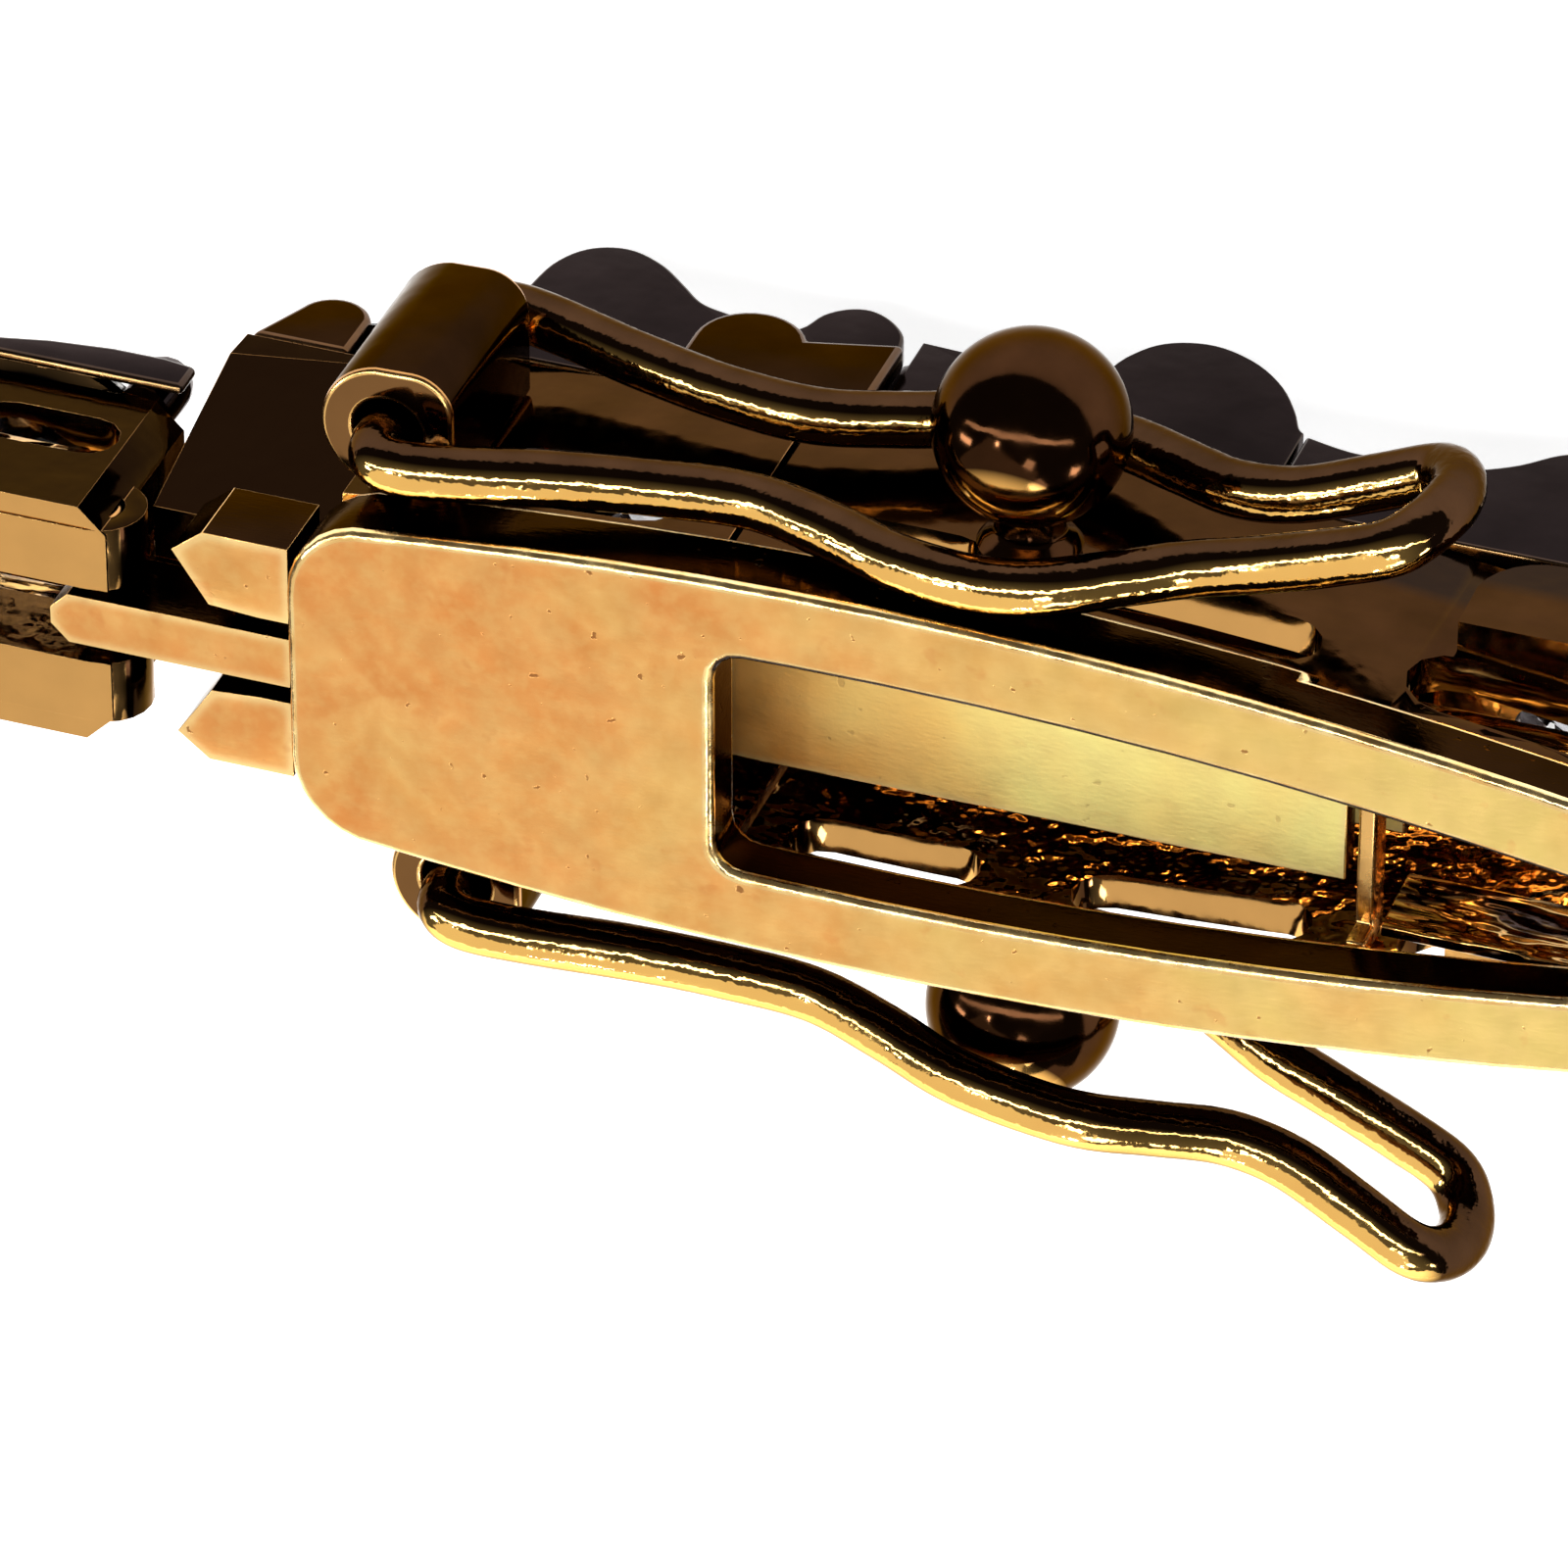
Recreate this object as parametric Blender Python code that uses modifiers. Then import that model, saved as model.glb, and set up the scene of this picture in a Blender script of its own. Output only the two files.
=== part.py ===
"""Bracelet box clasp with two figure-eight safety catches, lying on its stones.

Frame, in metres: +X runs along the bracelet, +Y across it, +Z out of the plate that faces the wrist.
The origin is on that plate's outer face, beside the hinge axes of the two catches.
Depths are measured from that face towards the stones, so a depth d is at z = -d.
"""

from math import atan2, cos, pi, radians, sin

import bmesh
import bpy
from mathutils import Matrix, Vector

MM = 0.001

# Driving dimensions, in millimetres and degrees
GAP = 0.04                  # clearance between pieces that rest on each other
PITCH = 3.35                # stone to stone along the bracelet
FIRST_STONE_X = -1.5        # the box half's outer stone
STONE_DIAMETER = 3.0
SPLIT_X = 3.5               # where box half and tongue half meet

PLATE_LEFT_X = -1.06
PLATE_RIGHT_X = 14.2
PLATE_HALF_WIDTH = 2.27     # at the widest point
PLATE_WIDEST_X = 5.2
PLATE_SIDE_RADIUS = 46.7
PLATE_CORNER = 0.95
PLATE_THICKNESS = 0.7
PLATE_EDGE_BEVEL = 0.07
TRAY_DEPTH = 0.86
TRAY_WALL = 0.42
TRAY_WALL_END_X = 9.75
WINDOW_LEFT_X = 3.62
WINDOW_RIGHT_X = 13.4
WINDOW_CORNER = 0.32
RAIL_WIDTH = 0.92

BODY_INSET = 0.12           # side walls stand this far inside the plate's edge
BODY_WALL = 0.42
BODY_TOP = TRAY_DEPTH + GAP
BODY_LEFT_X = -3.0
END_RIGHT_X = -0.5
END_NARROW = 0.95           # half width of the closed end, at the plate and at the stones
END_WIDE = 1.62
DECK_TOP = 3.15
DECK_BOTTOM = 3.6
SKIRT_X = 9.8
SEAT_RADIUS = 0.75
GALLERY_TOP = 1.05           # oval openings in the side walls
GALLERY_BOTTOM = 1.8
TONGUE_WINDOWS = [(5.0, 1.05), (8.35, 1.3)]  # middle and half length

COLLET_HEIGHT = 1.4
END_COLLET_HEIGHT = 0.66
PAVILION_DEPTH = 1.4
CROWN_HEIGHT = 0.55
GIRDLE_HEIGHT = 0.1
TABLE_RADIUS = 0.85
PRONG_DIAMETER = 0.62
END_FIN_TOP = 4.6           # lobes that carry the walls on past the deck
SPLIT_FIN_TOP = 5.02
SPLIT_FIN_Y = 2.2
BOSS_FOOT = 2.05              # round boss over the skirt's opening
BOSS_OUTER_Y = 2.14
RIM_INNER_Y = 1.66           # scalloped rims outside the prongs, with a lobe at each joint between stones
RIM_OUTER_Y = 1.98
WEB_INNER_Y = 1.15           # webs that tie the rims to their cups
WEB_HALF_LENGTH = 0.5
WEB_TOP = 4.8
BOX_RIM = [(-0.3, 0), (-0.27, 4.99), (-0.2, 5.45), (-0.02, 5.8), (0.24, 5.98), (0.56, 6.01), (0.94, 5.84),
           (1.28, 5.55), (1.56, 5.3), (1.85, 5.2), (2.4, 5.1), (2.7, 5.17), (2.84, 5.5), (3.05, 5.7), (3.3, 5.76),
           (3.56, 5.65), (3.78, 5.41), (3.85, 5.1), (3.85, 0)]  # a depth of 0 stands for the foot
FIRST_TONGUE_RIM = [(4.02, 0), (4.02, 5.34), (4.66, 5.3), (5.5, 5.22), (5.92, 5.34), (6.1, 5.79), (6.33, 6.13),
                    (6.65, 6.3), (7.02, 6.32), (7.46, 6.14), (7.83, 5.81), (8.09, 5.41), (8.25, 5.11), (8.3, 0)]
SECOND_TONGUE_RIM = [(8.34, 0), (8.34, 5.02), (8.87, 4.9), (9.4, 4.92), (9.9, 4.96), (10.2, 5.04), (10.56, 5.26),
                     (10.9, 5.58), (11.25, 5.72), (11.6, 5.58), (11.9, 5.2), (12.0, 0)]

UPPER_HINGE = (-0.25, 2.62)  # catch hinge axes
LOWER_HINGE = (0.4, -2.9)
CATCH_DEPTH = 1.85          # middle of the catch loop and of the ball stud
WIRE_DIAMETER = 0.6
KNUCKLE_RADIUS = 0.74
KNUCKLE_TIGHT = 0.45
KNUCKLE_TOP = 0.92
KNUCKLE_BOTTOM = 3.15
KNUCKLE_BORE = 0.76
LOWER_CATCH_OPEN = 7.2

BALL_X = 6.4
BALL_Y = 3.6
BALL_DIAMETER = 2.06
STEM_DIAMETER = 0.7

STRIP_THICKNESS = 0.3
STRIP_HALF_WIDTH = 0.95
STRIP_TOP = 2.5
STRIP_END_X = 10.3
FOLD_X = 3.2
LEAF_END_X = 10.05
LEAF_END_TOP = 1.2
LEAF_END_HALF_WIDTH = 0.66

LIP_X = 10.2
LIP_THICKNESS = 0.2
LIP_TOP = 1.08
LIP_BOTTOM = 1.45

PIN_X = -3.35
PIN_DEPTH = 0.62
PIN_DIAMETER = 0.44
PIN_CLEARANCE = 0.03
TAB_HALF_WIDTH = 0.3
SHOULDER_INNER_Y = 0.5
SHOULDER_OUTER_Y = 1.42
SHOULDER_LEFT_X = -2.4
BAR_TOP = 0.72              # the bar that ties the tab to its shoulders
TAB_TOP = 0.2
TAB_BOTTOM = 1.1
TAB_TIP_X = -3.8

LINK_LEFT_X = -6.5
LINK_RIGHT_X = -3.12
LINK_HALF_WIDTH = 1.45
LINK_WALL = 0.4
LINK_TOP = 0.16
LINK_DECK_TOP = 1.9
LINK_BOTTOM = 2.3
LINK_SEAT_RADIUS = 1.27
LINK_SIDE_TOP = 2.8          # low sides of the link's stone cup
LINK_SIDE_Y = 1.68
LINK_WINDOW_X = -4.3
LUG_INNER_Y = 0.46
LUG_OUTER_Y = 1.2
LUG_RADIUS = 0.48

TAIL_TAB_LENGTH = 1.9

GOLD_SATIN = ((0.83, 0.52, 0.20), 0.3, 1.0)
GOLD_POLISHED = ((0.80, 0.47, 0.16), 0.12, 1.0)
GOLD_SPRING = ((0.85, 0.57, 0.24), 0.25, 1.0)
CLEAR_STONE = ((0.93, 0.93, 0.95), 0.02, 0.0)

PARTS = None
CUTTERS = None


# Collections, materials and object helpers

def clear_scene():
    for item in list(bpy.data.objects):
        bpy.data.objects.remove(item)


def new_collection(name):
    collection = bpy.data.collections.new(name)
    bpy.context.scene.collection.children.link(collection)
    return collection


def finish_material(item, finish):
    colour, roughness, metallic = finish
    material = bpy.data.materials.new(item.name)
    material.use_nodes = True
    shader = material.node_tree.nodes["Principled BSDF"]
    shader.inputs["Base Color"].default_value = (*colour, 1.0)
    shader.inputs["Roughness"].default_value = roughness
    shader.inputs["Metallic"].default_value = metallic
    item.data.materials.clear()
    item.data.materials.append(material)
    item.data.shade_smooth()
    item.data.set_sharp_from_angle(angle=radians(35))
    return item


def mesh_object(name, shape, collection):
    """An object from a bmesh that is written in millimetres."""
    bmesh.ops.scale(shape, vec=(MM, MM, MM), verts=shape.verts)
    bmesh.ops.recalc_face_normals(shape, faces=shape.faces)
    mesh = bpy.data.meshes.new(name)
    shape.to_mesh(mesh)
    shape.free()
    item = bpy.data.objects.new(name, mesh)
    collection.objects.link(item)
    return item


def curve_to_object(name, curve, collection):
    """Turn a curve written in millimetres into a closed mesh object."""
    guide = bpy.data.objects.new(name, curve)
    collection.objects.link(guide)
    depsgraph = bpy.context.evaluated_depsgraph_get()
    mesh = bpy.data.meshes.new_from_object(guide.evaluated_get(depsgraph))
    bpy.data.objects.remove(guide)
    bpy.data.curves.remove(curve)
    shape = bmesh.new()
    shape.from_mesh(mesh)
    bpy.data.meshes.remove(mesh)
    bmesh.ops.remove_doubles(shape, verts=shape.verts, dist=0.0005)
    return mesh_object(name, shape, collection)


def slab(name, points, low, high, collection, axes=("x", "y", "z")):
    """Extrude a closed outline; the third of axes is the direction of the extrusion."""
    curve = bpy.data.curves.new(name, "CURVE")
    curve.dimensions = "2D"
    curve.fill_mode = "BOTH"
    curve.extrude = (high - low) / 2
    spline = curve.splines.new("POLY")
    spline.points.add(len(points) - 1)
    for spot, (u, v) in zip(spline.points, points):
        spot.co = (u, v, 0, 1)
    spline.use_cyclic_u = True
    item = curve_to_object(name, curve, collection)
    middle = (low + high) / 2 * MM
    unit = {"x": Vector((1, 0, 0)), "y": Vector((0, 1, 0)), "z": Vector((0, 0, 1))}
    columns = [unit[axis] for axis in axes]
    turn = Matrix(columns).transposed().to_4x4()
    item.data.transform(turn @ Matrix.Translation((0, 0, middle)))
    if turn.determinant() < 0:
        item.data.flip_normals()
    return item


def block(name, low, high, collection):
    """A box between two corners."""
    shape = bmesh.new()
    bmesh.ops.create_cube(shape, size=1.0)
    size = Vector(high) - Vector(low)
    bmesh.ops.scale(shape, vec=size, verts=shape.verts)
    bmesh.ops.translate(shape, vec=(Vector(high) + Vector(low)) / 2, verts=shape.verts)
    return mesh_object(name, shape, collection)


def rod(name, centre, axis, diameter, length, collection, segments=20):
    """A cylinder centred on a point, along axis "x", "y" or "z"."""
    turn = {"x": Matrix.Rotation(pi / 2, 4, "Y"), "y": Matrix.Rotation(-pi / 2, 4, "X"), "z": Matrix()}
    shape = bmesh.new()
    bmesh.ops.create_cone(shape, cap_ends=True, segments=segments, radius1=diameter / 2,
                          radius2=diameter / 2, depth=length,
                          matrix=Matrix.Translation(centre) @ turn[axis])
    return mesh_object(name, shape, collection)


def wire(name, points, diameter, closed, collection, sides=2):
    """A round wire along a list of points."""
    curve = bpy.data.curves.new(name, "CURVE")
    curve.dimensions = "3D"
    curve.bevel_depth = diameter / 2
    curve.bevel_resolution = sides
    curve.use_fill_caps = not closed
    spline = curve.splines.new("POLY")
    spline.points.add(len(points) - 1)
    for spot, place in zip(spline.points, points):
        spot.co = (*place, 1)
    spline.use_cyclic_u = closed
    return curve_to_object(name, curve, collection)


def turned(name, profile, collection, steps=24):
    """Turn a closed profile of (radius, height) pairs round the Z axis."""
    shape = bmesh.new()
    ring = [shape.verts.new((radius, 0, height)) for radius, height in profile]
    edges = [shape.edges.new((a, b)) for a, b in zip(ring, ring[1:])]
    if profile[0][0] > 0:
        edges.append(shape.edges.new((ring[-1], ring[0])))
    bmesh.ops.spin(shape, geom=ring + edges, axis=(0, 0, 1), cent=(0, 0, 0), angle=2 * pi,
                   steps=steps, use_merge=True)
    bmesh.ops.remove_doubles(shape, verts=shape.verts, dist=0.0005)
    return mesh_object(name, shape, collection)


def combine(item, other, operation):
    """Cut other from item, or join it to item; other becomes a hidden guide."""
    other.hide_render = True
    other.display_type = "WIRE"
    step = item.modifiers.new(operation.title() + " " + other.name, "BOOLEAN")
    step.operation = operation
    step.object = other
    step.solver = "EXACT"


def cut(item, *others):
    for other in others:
        combine(item, other, "DIFFERENCE")


def join(item, *others):
    for other in others:
        combine(item, other, "UNION")


def round_edges(item, width, segments=2):
    step = item.modifiers.new("Rounded edges", "BEVEL")
    step.width = width * MM
    step.segments = segments
    step.limit_method = "ANGLE"
    step.angle_limit = radians(40)


def pivot(name, place):
    """An empty on a joint's axis."""
    empty = bpy.data.objects.new(name, None)
    empty.location = Vector(place) * MM
    empty.empty_display_size = MM
    PARTS.objects.link(empty)
    return empty


def hang(item, empty):
    """Parent a piece to its joint's empty without moving it."""
    item.parent = empty
    item.matrix_parent_inverse = Matrix.Translation(-empty.location)


# Outlines

def arc(centre, radius, start, end, steps):
    """Points along an arc, with both ends, in degrees."""
    angles = [radians(start + (end - start) * i / steps) for i in range(steps + 1)]
    return [(centre[0] + radius * cos(a), centre[1] + radius * sin(a)) for a in angles]


def plate_half_width(x):
    return PLATE_HALF_WIDTH - (x - PLATE_WIDEST_X) ** 2 / (2 * PLATE_SIDE_RADIUS)


def side_points(left_x, right_x, inset, steps):
    """The plate's long side from left to right, moved in by inset."""
    xs = [left_x + (right_x - left_x) * i / steps for i in range(steps + 1)]
    return [(x, plate_half_width(x) - inset) for x in xs]


def mirrored(upper):
    """Close an outline from its upper half, which runs left to right."""
    return upper + [(x, -y) for x, y in reversed(upper)]


def plate_outline():
    corner_x = PLATE_LEFT_X + PLATE_CORNER
    corner_y = plate_half_width(corner_x) - PLATE_CORNER
    upper = arc((corner_x, corner_y), PLATE_CORNER, 180, 90, 7)
    upper += side_points(corner_x + 0.6, PLATE_RIGHT_X, 0, 14)
    return mirrored(upper)


def window_outline():
    left = WINDOW_LEFT_X + WINDOW_CORNER
    right = WINDOW_RIGHT_X - WINDOW_CORNER
    upper = arc((left, plate_half_width(left) - RAIL_WIDTH - WINDOW_CORNER), WINDOW_CORNER, 180, 90, 4)
    upper += side_points(left + 0.5, right - 0.5, RAIL_WIDTH, 8)
    upper += arc((right, plate_half_width(right) - RAIL_WIDTH - WINDOW_CORNER), WINDOW_CORNER, 90, 0, 4)
    return mirrored(upper)


def oval(centre, half_length, half_height, steps=6):
    """A slot with round ends."""
    straight = half_length - half_height
    right = arc((centre[0] + straight, centre[1]), half_height, -90, 90, steps)
    left = arc((centre[0] - straight, centre[1]), half_height, 90, 270, steps)
    return right + left


def stone_x(index):
    return FIRST_STONE_X + PITCH * index


# Tray, lip and link tab

def base_plate():
    plate = slab("base_plate", plate_outline(), -TRAY_DEPTH, 0, PARTS)
    hollow = mirrored(side_points(PLATE_LEFT_X + 0.6, PLATE_RIGHT_X + 1, TRAY_WALL, 14))
    cut(plate,
        slab("tray_hollow", hollow, -TRAY_DEPTH - 1, -PLATE_THICKNESS, CUTTERS),
        block("tray_end", (TRAY_WALL_END_X, -5, -TRAY_DEPTH - 2), (PLATE_RIGHT_X + 2, 5, -PLATE_THICKNESS),
              CUTTERS),
        slab("plate_window", window_outline(), -TRAY_DEPTH - 3, 1, CUTTERS))
    round_edges(plate, PLATE_EDGE_BEVEL)
    return finish_material(plate, GOLD_SATIN)


def catch_lip():
    """The cross bar that the spring leaf's end locks behind, on two feet under the rails."""
    foot_inner = plate_half_width(LIP_X) - RAIL_WIDTH + 0.02
    outer = foot_inner + 0.26
    foot_top = -PLATE_THICKNESS - GAP
    points = [(-outer, foot_top), (-foot_inner, foot_top), (-foot_inner, -LIP_TOP), (foot_inner, -LIP_TOP),
              (foot_inner, foot_top), (outer, foot_top), (outer, -LIP_BOTTOM), (-outer, -LIP_BOTTOM)]
    lip = slab("catch_lip", points, LIP_X, LIP_X + LIP_THICKNESS, PARTS, axes=("y", "z", "x"))
    return finish_material(lip, GOLD_POLISHED)


def link_tab():
    """A comb of a middle tab and two pointed shoulders, tied by a bar at the plate's closed end."""
    right = PLATE_LEFT_X - GAP
    bar = right - 0.35
    upper = [(TAB_TIP_X, 0.1), (TAB_TIP_X + 0.2, TAB_HALF_WIDTH), (bar, TAB_HALF_WIDTH),
             (bar, SHOULDER_INNER_Y), (SHOULDER_LEFT_X + 0.4, SHOULDER_INNER_Y + 0.04),
             (SHOULDER_LEFT_X, SHOULDER_OUTER_Y - 0.28),
             (SHOULDER_LEFT_X + 0.35, SHOULDER_OUTER_Y), (right, SHOULDER_OUTER_Y)]
    tab = slab("link_tab", mirrored(upper), -TAB_BOTTOM, -TAB_TOP, PARTS)
    for side in (1, -1):
        low, high = sorted((side * TAB_HALF_WIDTH, side * SHOULDER_INNER_Y))
        cut(tab, block(f"tab_gap_{side}", (bar - 1, low, -BAR_TOP), (right + 1, high, 1), CUTTERS))
    hole = PIN_DIAMETER + 2 * PIN_CLEARANCE
    cut(tab, rod("tab_hole", (PIN_X, 0, -PIN_DEPTH), "y", hole, 2, CUTTERS))
    return finish_material(tab, GOLD_SATIN)


def link_pin():
    pin = rod("link_pin", (PIN_X, 0, -PIN_DEPTH), "y", PIN_DIAMETER, 2 * LUG_OUTER_Y - 0.04, PARTS)
    return finish_material(pin, GOLD_POLISHED)


# Side walls, decks and stone settings

def gallery_window(item, number, x, half_length):
    """Cut an oval opening through both side walls."""
    middle = -(GALLERY_TOP + GALLERY_BOTTOM) / 2
    points = oval((x, middle), half_length, (GALLERY_BOTTOM - GALLERY_TOP) / 2)
    cut(item, slab(f"{item.name}_window_{number}", points, -4, 4, CUTTERS, axes=("x", "z", "y")))


def seat_holes(item, centres, top, bottom):
    for number, x in enumerate(centres):
        cut(item, rod(f"{item.name}_seat_{number}", (x, 0, -(top + bottom) / 2), "z", 2 * SEAT_RADIUS,
                      bottom - top, CUTTERS, segments=24))


def end_block():
    """The closed end, flaring from the plate towards the stones."""
    top = -TAB_BOTTOM - GAP
    outline = [(BODY_LEFT_X, top), (BODY_LEFT_X, -DECK_BOTTOM + 0.3), (BODY_LEFT_X + 0.08, -DECK_BOTTOM),
               (END_RIGHT_X, -DECK_BOTTOM), (END_RIGHT_X, top)]
    end = slab("end_block", outline, -END_WIDE, END_WIDE, CUTTERS, axes=("x", "z", "y"))
    for side in (1, -1):
        flare = [(side * END_NARROW, top), (side * END_WIDE, -DECK_BOTTOM), (side * 3, -DECK_BOTTOM - 0.1),
                 (side * 3, 0), (side * END_NARROW, 0)]
        cut(end, slab(f"end_flare_{side}", flare, BODY_LEFT_X - 1, END_RIGHT_X + 1, CUTTERS,
                      axes=("y", "z", "x")))
    return end


def box_gallery():
    """The box half's walls and deck, closed at the left and open towards the tongue."""
    wall_x = PLATE_LEFT_X + 0.3
    body = slab("box_gallery", mirrored(side_points(wall_x, SPLIT_X - GAP, BODY_INSET, 6)), -DECK_BOTTOM,
                -BODY_TOP, PARTS)
    inner = side_points(END_RIGHT_X, SPLIT_X + 1, BODY_INSET + BODY_WALL, 4)
    cut(body, slab("box_hollow", mirrored(inner), -DECK_TOP, -BODY_TOP + 1, CUTTERS))
    join(body, end_block())
    stones = [stone_x(0), stone_x(1)]
    seat_holes(body, stones, 0, DECK_BOTTOM + 1)
    gallery_window(body, 0, stone_x(1), 0.95)
    round_edges(body, 0.05, 1)
    return finish_material(body, GOLD_POLISHED)


def tongue_gallery():
    """The tongue half's channel, with a deeper skirt past the end of the tray's walls."""
    left = SPLIT_X + GAP
    right = PLATE_RIGHT_X + 0.2
    body = slab("tongue_gallery", mirrored(side_points(left, right, BODY_INSET, 12)), -DECK_BOTTOM, -BODY_TOP,
                PARTS)
    skirt = slab("tongue_skirt", mirrored(side_points(SKIRT_X, right, BODY_INSET, 6)), -DECK_BOTTOM,
                 -PLATE_THICKNESS - GAP, CUTTERS)
    join(body, skirt)
    inner = mirrored(side_points(left - 1, right - 0.45, BODY_INSET + BODY_WALL, 12))
    cut(body, slab("tongue_hollow", inner, -DECK_TOP, 1, CUTTERS))
    seat_holes(body, [stone_x(2), stone_x(3), stone_x(4)], 0, DECK_BOTTOM + 1)
    for number, (x, half_length) in enumerate(TONGUE_WINDOWS):
        gallery_window(body, number, x, half_length)
    cut(body, slab("tongue_skirt_window", oval((stone_x(4), -1.45), 1.35, 0.5), -4, 4, CUTTERS,
                   axes=("x", "z", "y")))
    boss = [(10.89, BOSS_FOOT)] + arc((11.62, 2.62), 0.74, 172, 8, 12) + [(12.35, BOSS_FOOT)]
    add_fins(body, boss, 1.5, BOSS_OUTER_Y)
    round_edges(body, 0.05, 1)
    return finish_material(body, GOLD_POLISHED)


def pavilion_radius(depth, girdle_depth):
    return STONE_DIAMETER / 2 * (1 - (girdle_depth - depth) / PAVILION_DEPTH)


def collet(name, x, base_depth, girdle_depth, prong_angles=(45, 135, 225, 315)):
    """A cupped ring with prongs that close over the stone."""
    rim_depth = girdle_depth - 0.15
    rim_inner = pavilion_radius(rim_depth, girdle_depth) + 0.06
    throat = max(0.9, pavilion_radius(base_depth, girdle_depth) + 0.08)
    waist_depth = base_depth + (rim_depth - base_depth) * 0.5
    waist = max(throat, pavilion_radius(waist_depth, girdle_depth) + 0.06)
    profile = [(rim_inner + 0.2, -rim_depth), (rim_inner, -rim_depth), (waist, -waist_depth),
               (throat, -base_depth), (throat + 0.34, -base_depth), (waist + 0.34, -waist_depth)]
    ring = turned(name, profile, PARTS)
    ring.location.x = x * MM
    reach = STONE_DIAMETER / 2 + GAP + PRONG_DIAMETER / 2
    path = [(reach - 0.04, base_depth), (reach, girdle_depth), (reach - 0.12, girdle_depth + 0.4),
            (reach - 0.42, girdle_depth + 0.7)]
    for degrees in prong_angles:
        angle = degrees * pi / 180
        points = [(r * cos(angle), r * sin(angle), -d) for r, d in path]
        prong = wire(f"{name}_prong_{degrees}", points, PRONG_DIAMETER, False, CUTTERS, sides=1)
        prong.location.x = x * MM
        join(ring, prong)
    return finish_material(ring, GOLD_POLISHED)


def add_fins(ring, outline, inner_y, outer_y):
    """A flat lobe on each side, in line with the wall below it."""
    points = [(x, -depth) for x, depth in outline]
    for side in (1, -1):
        low, high = sorted((side * inner_y, side * outer_y))
        join(ring, slab(f"{ring.name}_fin_{side}", points, low, high, CUTTERS, axes=("x", "z", "y")))


def end_fin_outline(base):
    """The lobe at the closed end, leaning in towards its round top."""
    top = arc((-2.2, END_FIN_TOP - 0.42), 0.42, 165, 15, 8)
    return [(BODY_LEFT_X + 0.1, base)] + top + [(-1.8, base)]


def split_fin_outline(base):
    """The lobe beside the split, running on as a level rim past the end of the box half."""
    lobe = arc((2.42, SPLIT_FIN_TOP - 0.62), 0.62, 180, 25, 10)
    return [(1.8, base)] + lobe + [(3.2, SPLIT_FIN_TOP - 0.3), (3.96, SPLIT_FIN_TOP - 0.1), (3.96, base)]


def add_rim(ring, x, rim, base):
    """A scalloped rim on each side, tied to the cup by a web."""
    add_fins(ring, [(along, depth or base) for along, depth in rim], RIM_INNER_Y, RIM_OUTER_Y)
    web = [(x - WEB_HALF_LENGTH, base + 0.03), (x - WEB_HALF_LENGTH, WEB_TOP), (x + WEB_HALF_LENGTH, WEB_TOP),
           (x + WEB_HALF_LENGTH, base + 0.03)]
    add_fins(ring, web, WEB_INNER_Y, (RIM_INNER_Y + RIM_OUTER_Y) / 2)


def stone(name, x, girdle_depth):
    """A round stone with a flat table, held table down."""
    radius = STONE_DIAMETER / 2
    top = girdle_depth - PAVILION_DEPTH
    low = girdle_depth + GIRDLE_HEIGHT
    profile = [(0, -top), (radius, -girdle_depth), (radius, -low), (TABLE_RADIUS, -low - CROWN_HEIGHT),
               (0, -low - CROWN_HEIGHT)]
    gem = turned(name, profile, PARTS, steps=16)
    gem.location.x = x * MM
    finish_material(gem, CLEAR_STONE)
    gem.data.shade_flat()
    return gem


def clasp_setting(half, number, index, height=COLLET_HEIGHT, prong_angles=(45, 135, 225, 315)):
    base = DECK_BOTTOM + GAP
    girdle = base + height + 0.15
    ring = collet(f"{half}_setting_{number}", stone_x(index), base, girdle, prong_angles)
    gem = stone(f"{half}_stone_{number}", stone_x(index), girdle)
    return ring, gem


def box_settings():
    """The box half's two settings; the end one is lower, with lobes for its outer prongs."""
    base = DECK_BOTTOM + GAP
    first, _ = clasp_setting("box", 1, 0, END_COLLET_HEIGHT, (45, 315))
    add_fins(first, end_fin_outline(base), 1.46, END_WIDE)
    second, _ = clasp_setting("box", 2, 1)
    add_rim(second, stone_x(1), BOX_RIM, base)
    add_fins(second, split_fin_outline(base + 0.02), RIM_OUTER_Y - 0.1, SPLIT_FIN_Y)


def tongue_settings(empty):
    """The tongue half's three settings; the first two carry rims."""
    base = DECK_BOTTOM + GAP
    settings = [clasp_setting("tongue", number, number + 1) for number in (1, 2, 3)]
    add_rim(settings[0][0], stone_x(2), FIRST_TONGUE_RIM, base)
    add_rim(settings[1][0], stone_x(3) + 0.36, SECOND_TONGUE_RIM, base)
    for ring, gem in settings:
        hang(ring, empty)
        hang(gem, empty)


# Tongue

def tongue_strip():
    """The fixed leaf of the folded tongue, with the fold at its tip."""
    centre_depth = STRIP_TOP + STRIP_THICKNESS - 0.65
    outer = arc((FOLD_X, -centre_depth), 0.65, 270, 90, 10)
    inner = arc((FOLD_X, -centre_depth), 0.65 - STRIP_THICKNESS, 90, 270, 10)
    points = [(STRIP_END_X, -STRIP_TOP - STRIP_THICKNESS)] + outer + inner + [(STRIP_END_X, -STRIP_TOP)]
    strip = slab("tongue_strip", points, -STRIP_HALF_WIDTH, STRIP_HALF_WIDTH, PARTS, axes=("x", "z", "y"))
    return finish_material(strip, GOLD_SPRING)


def leaf_root_depth():
    return STRIP_TOP + STRIP_THICKNESS - 1.3


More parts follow.
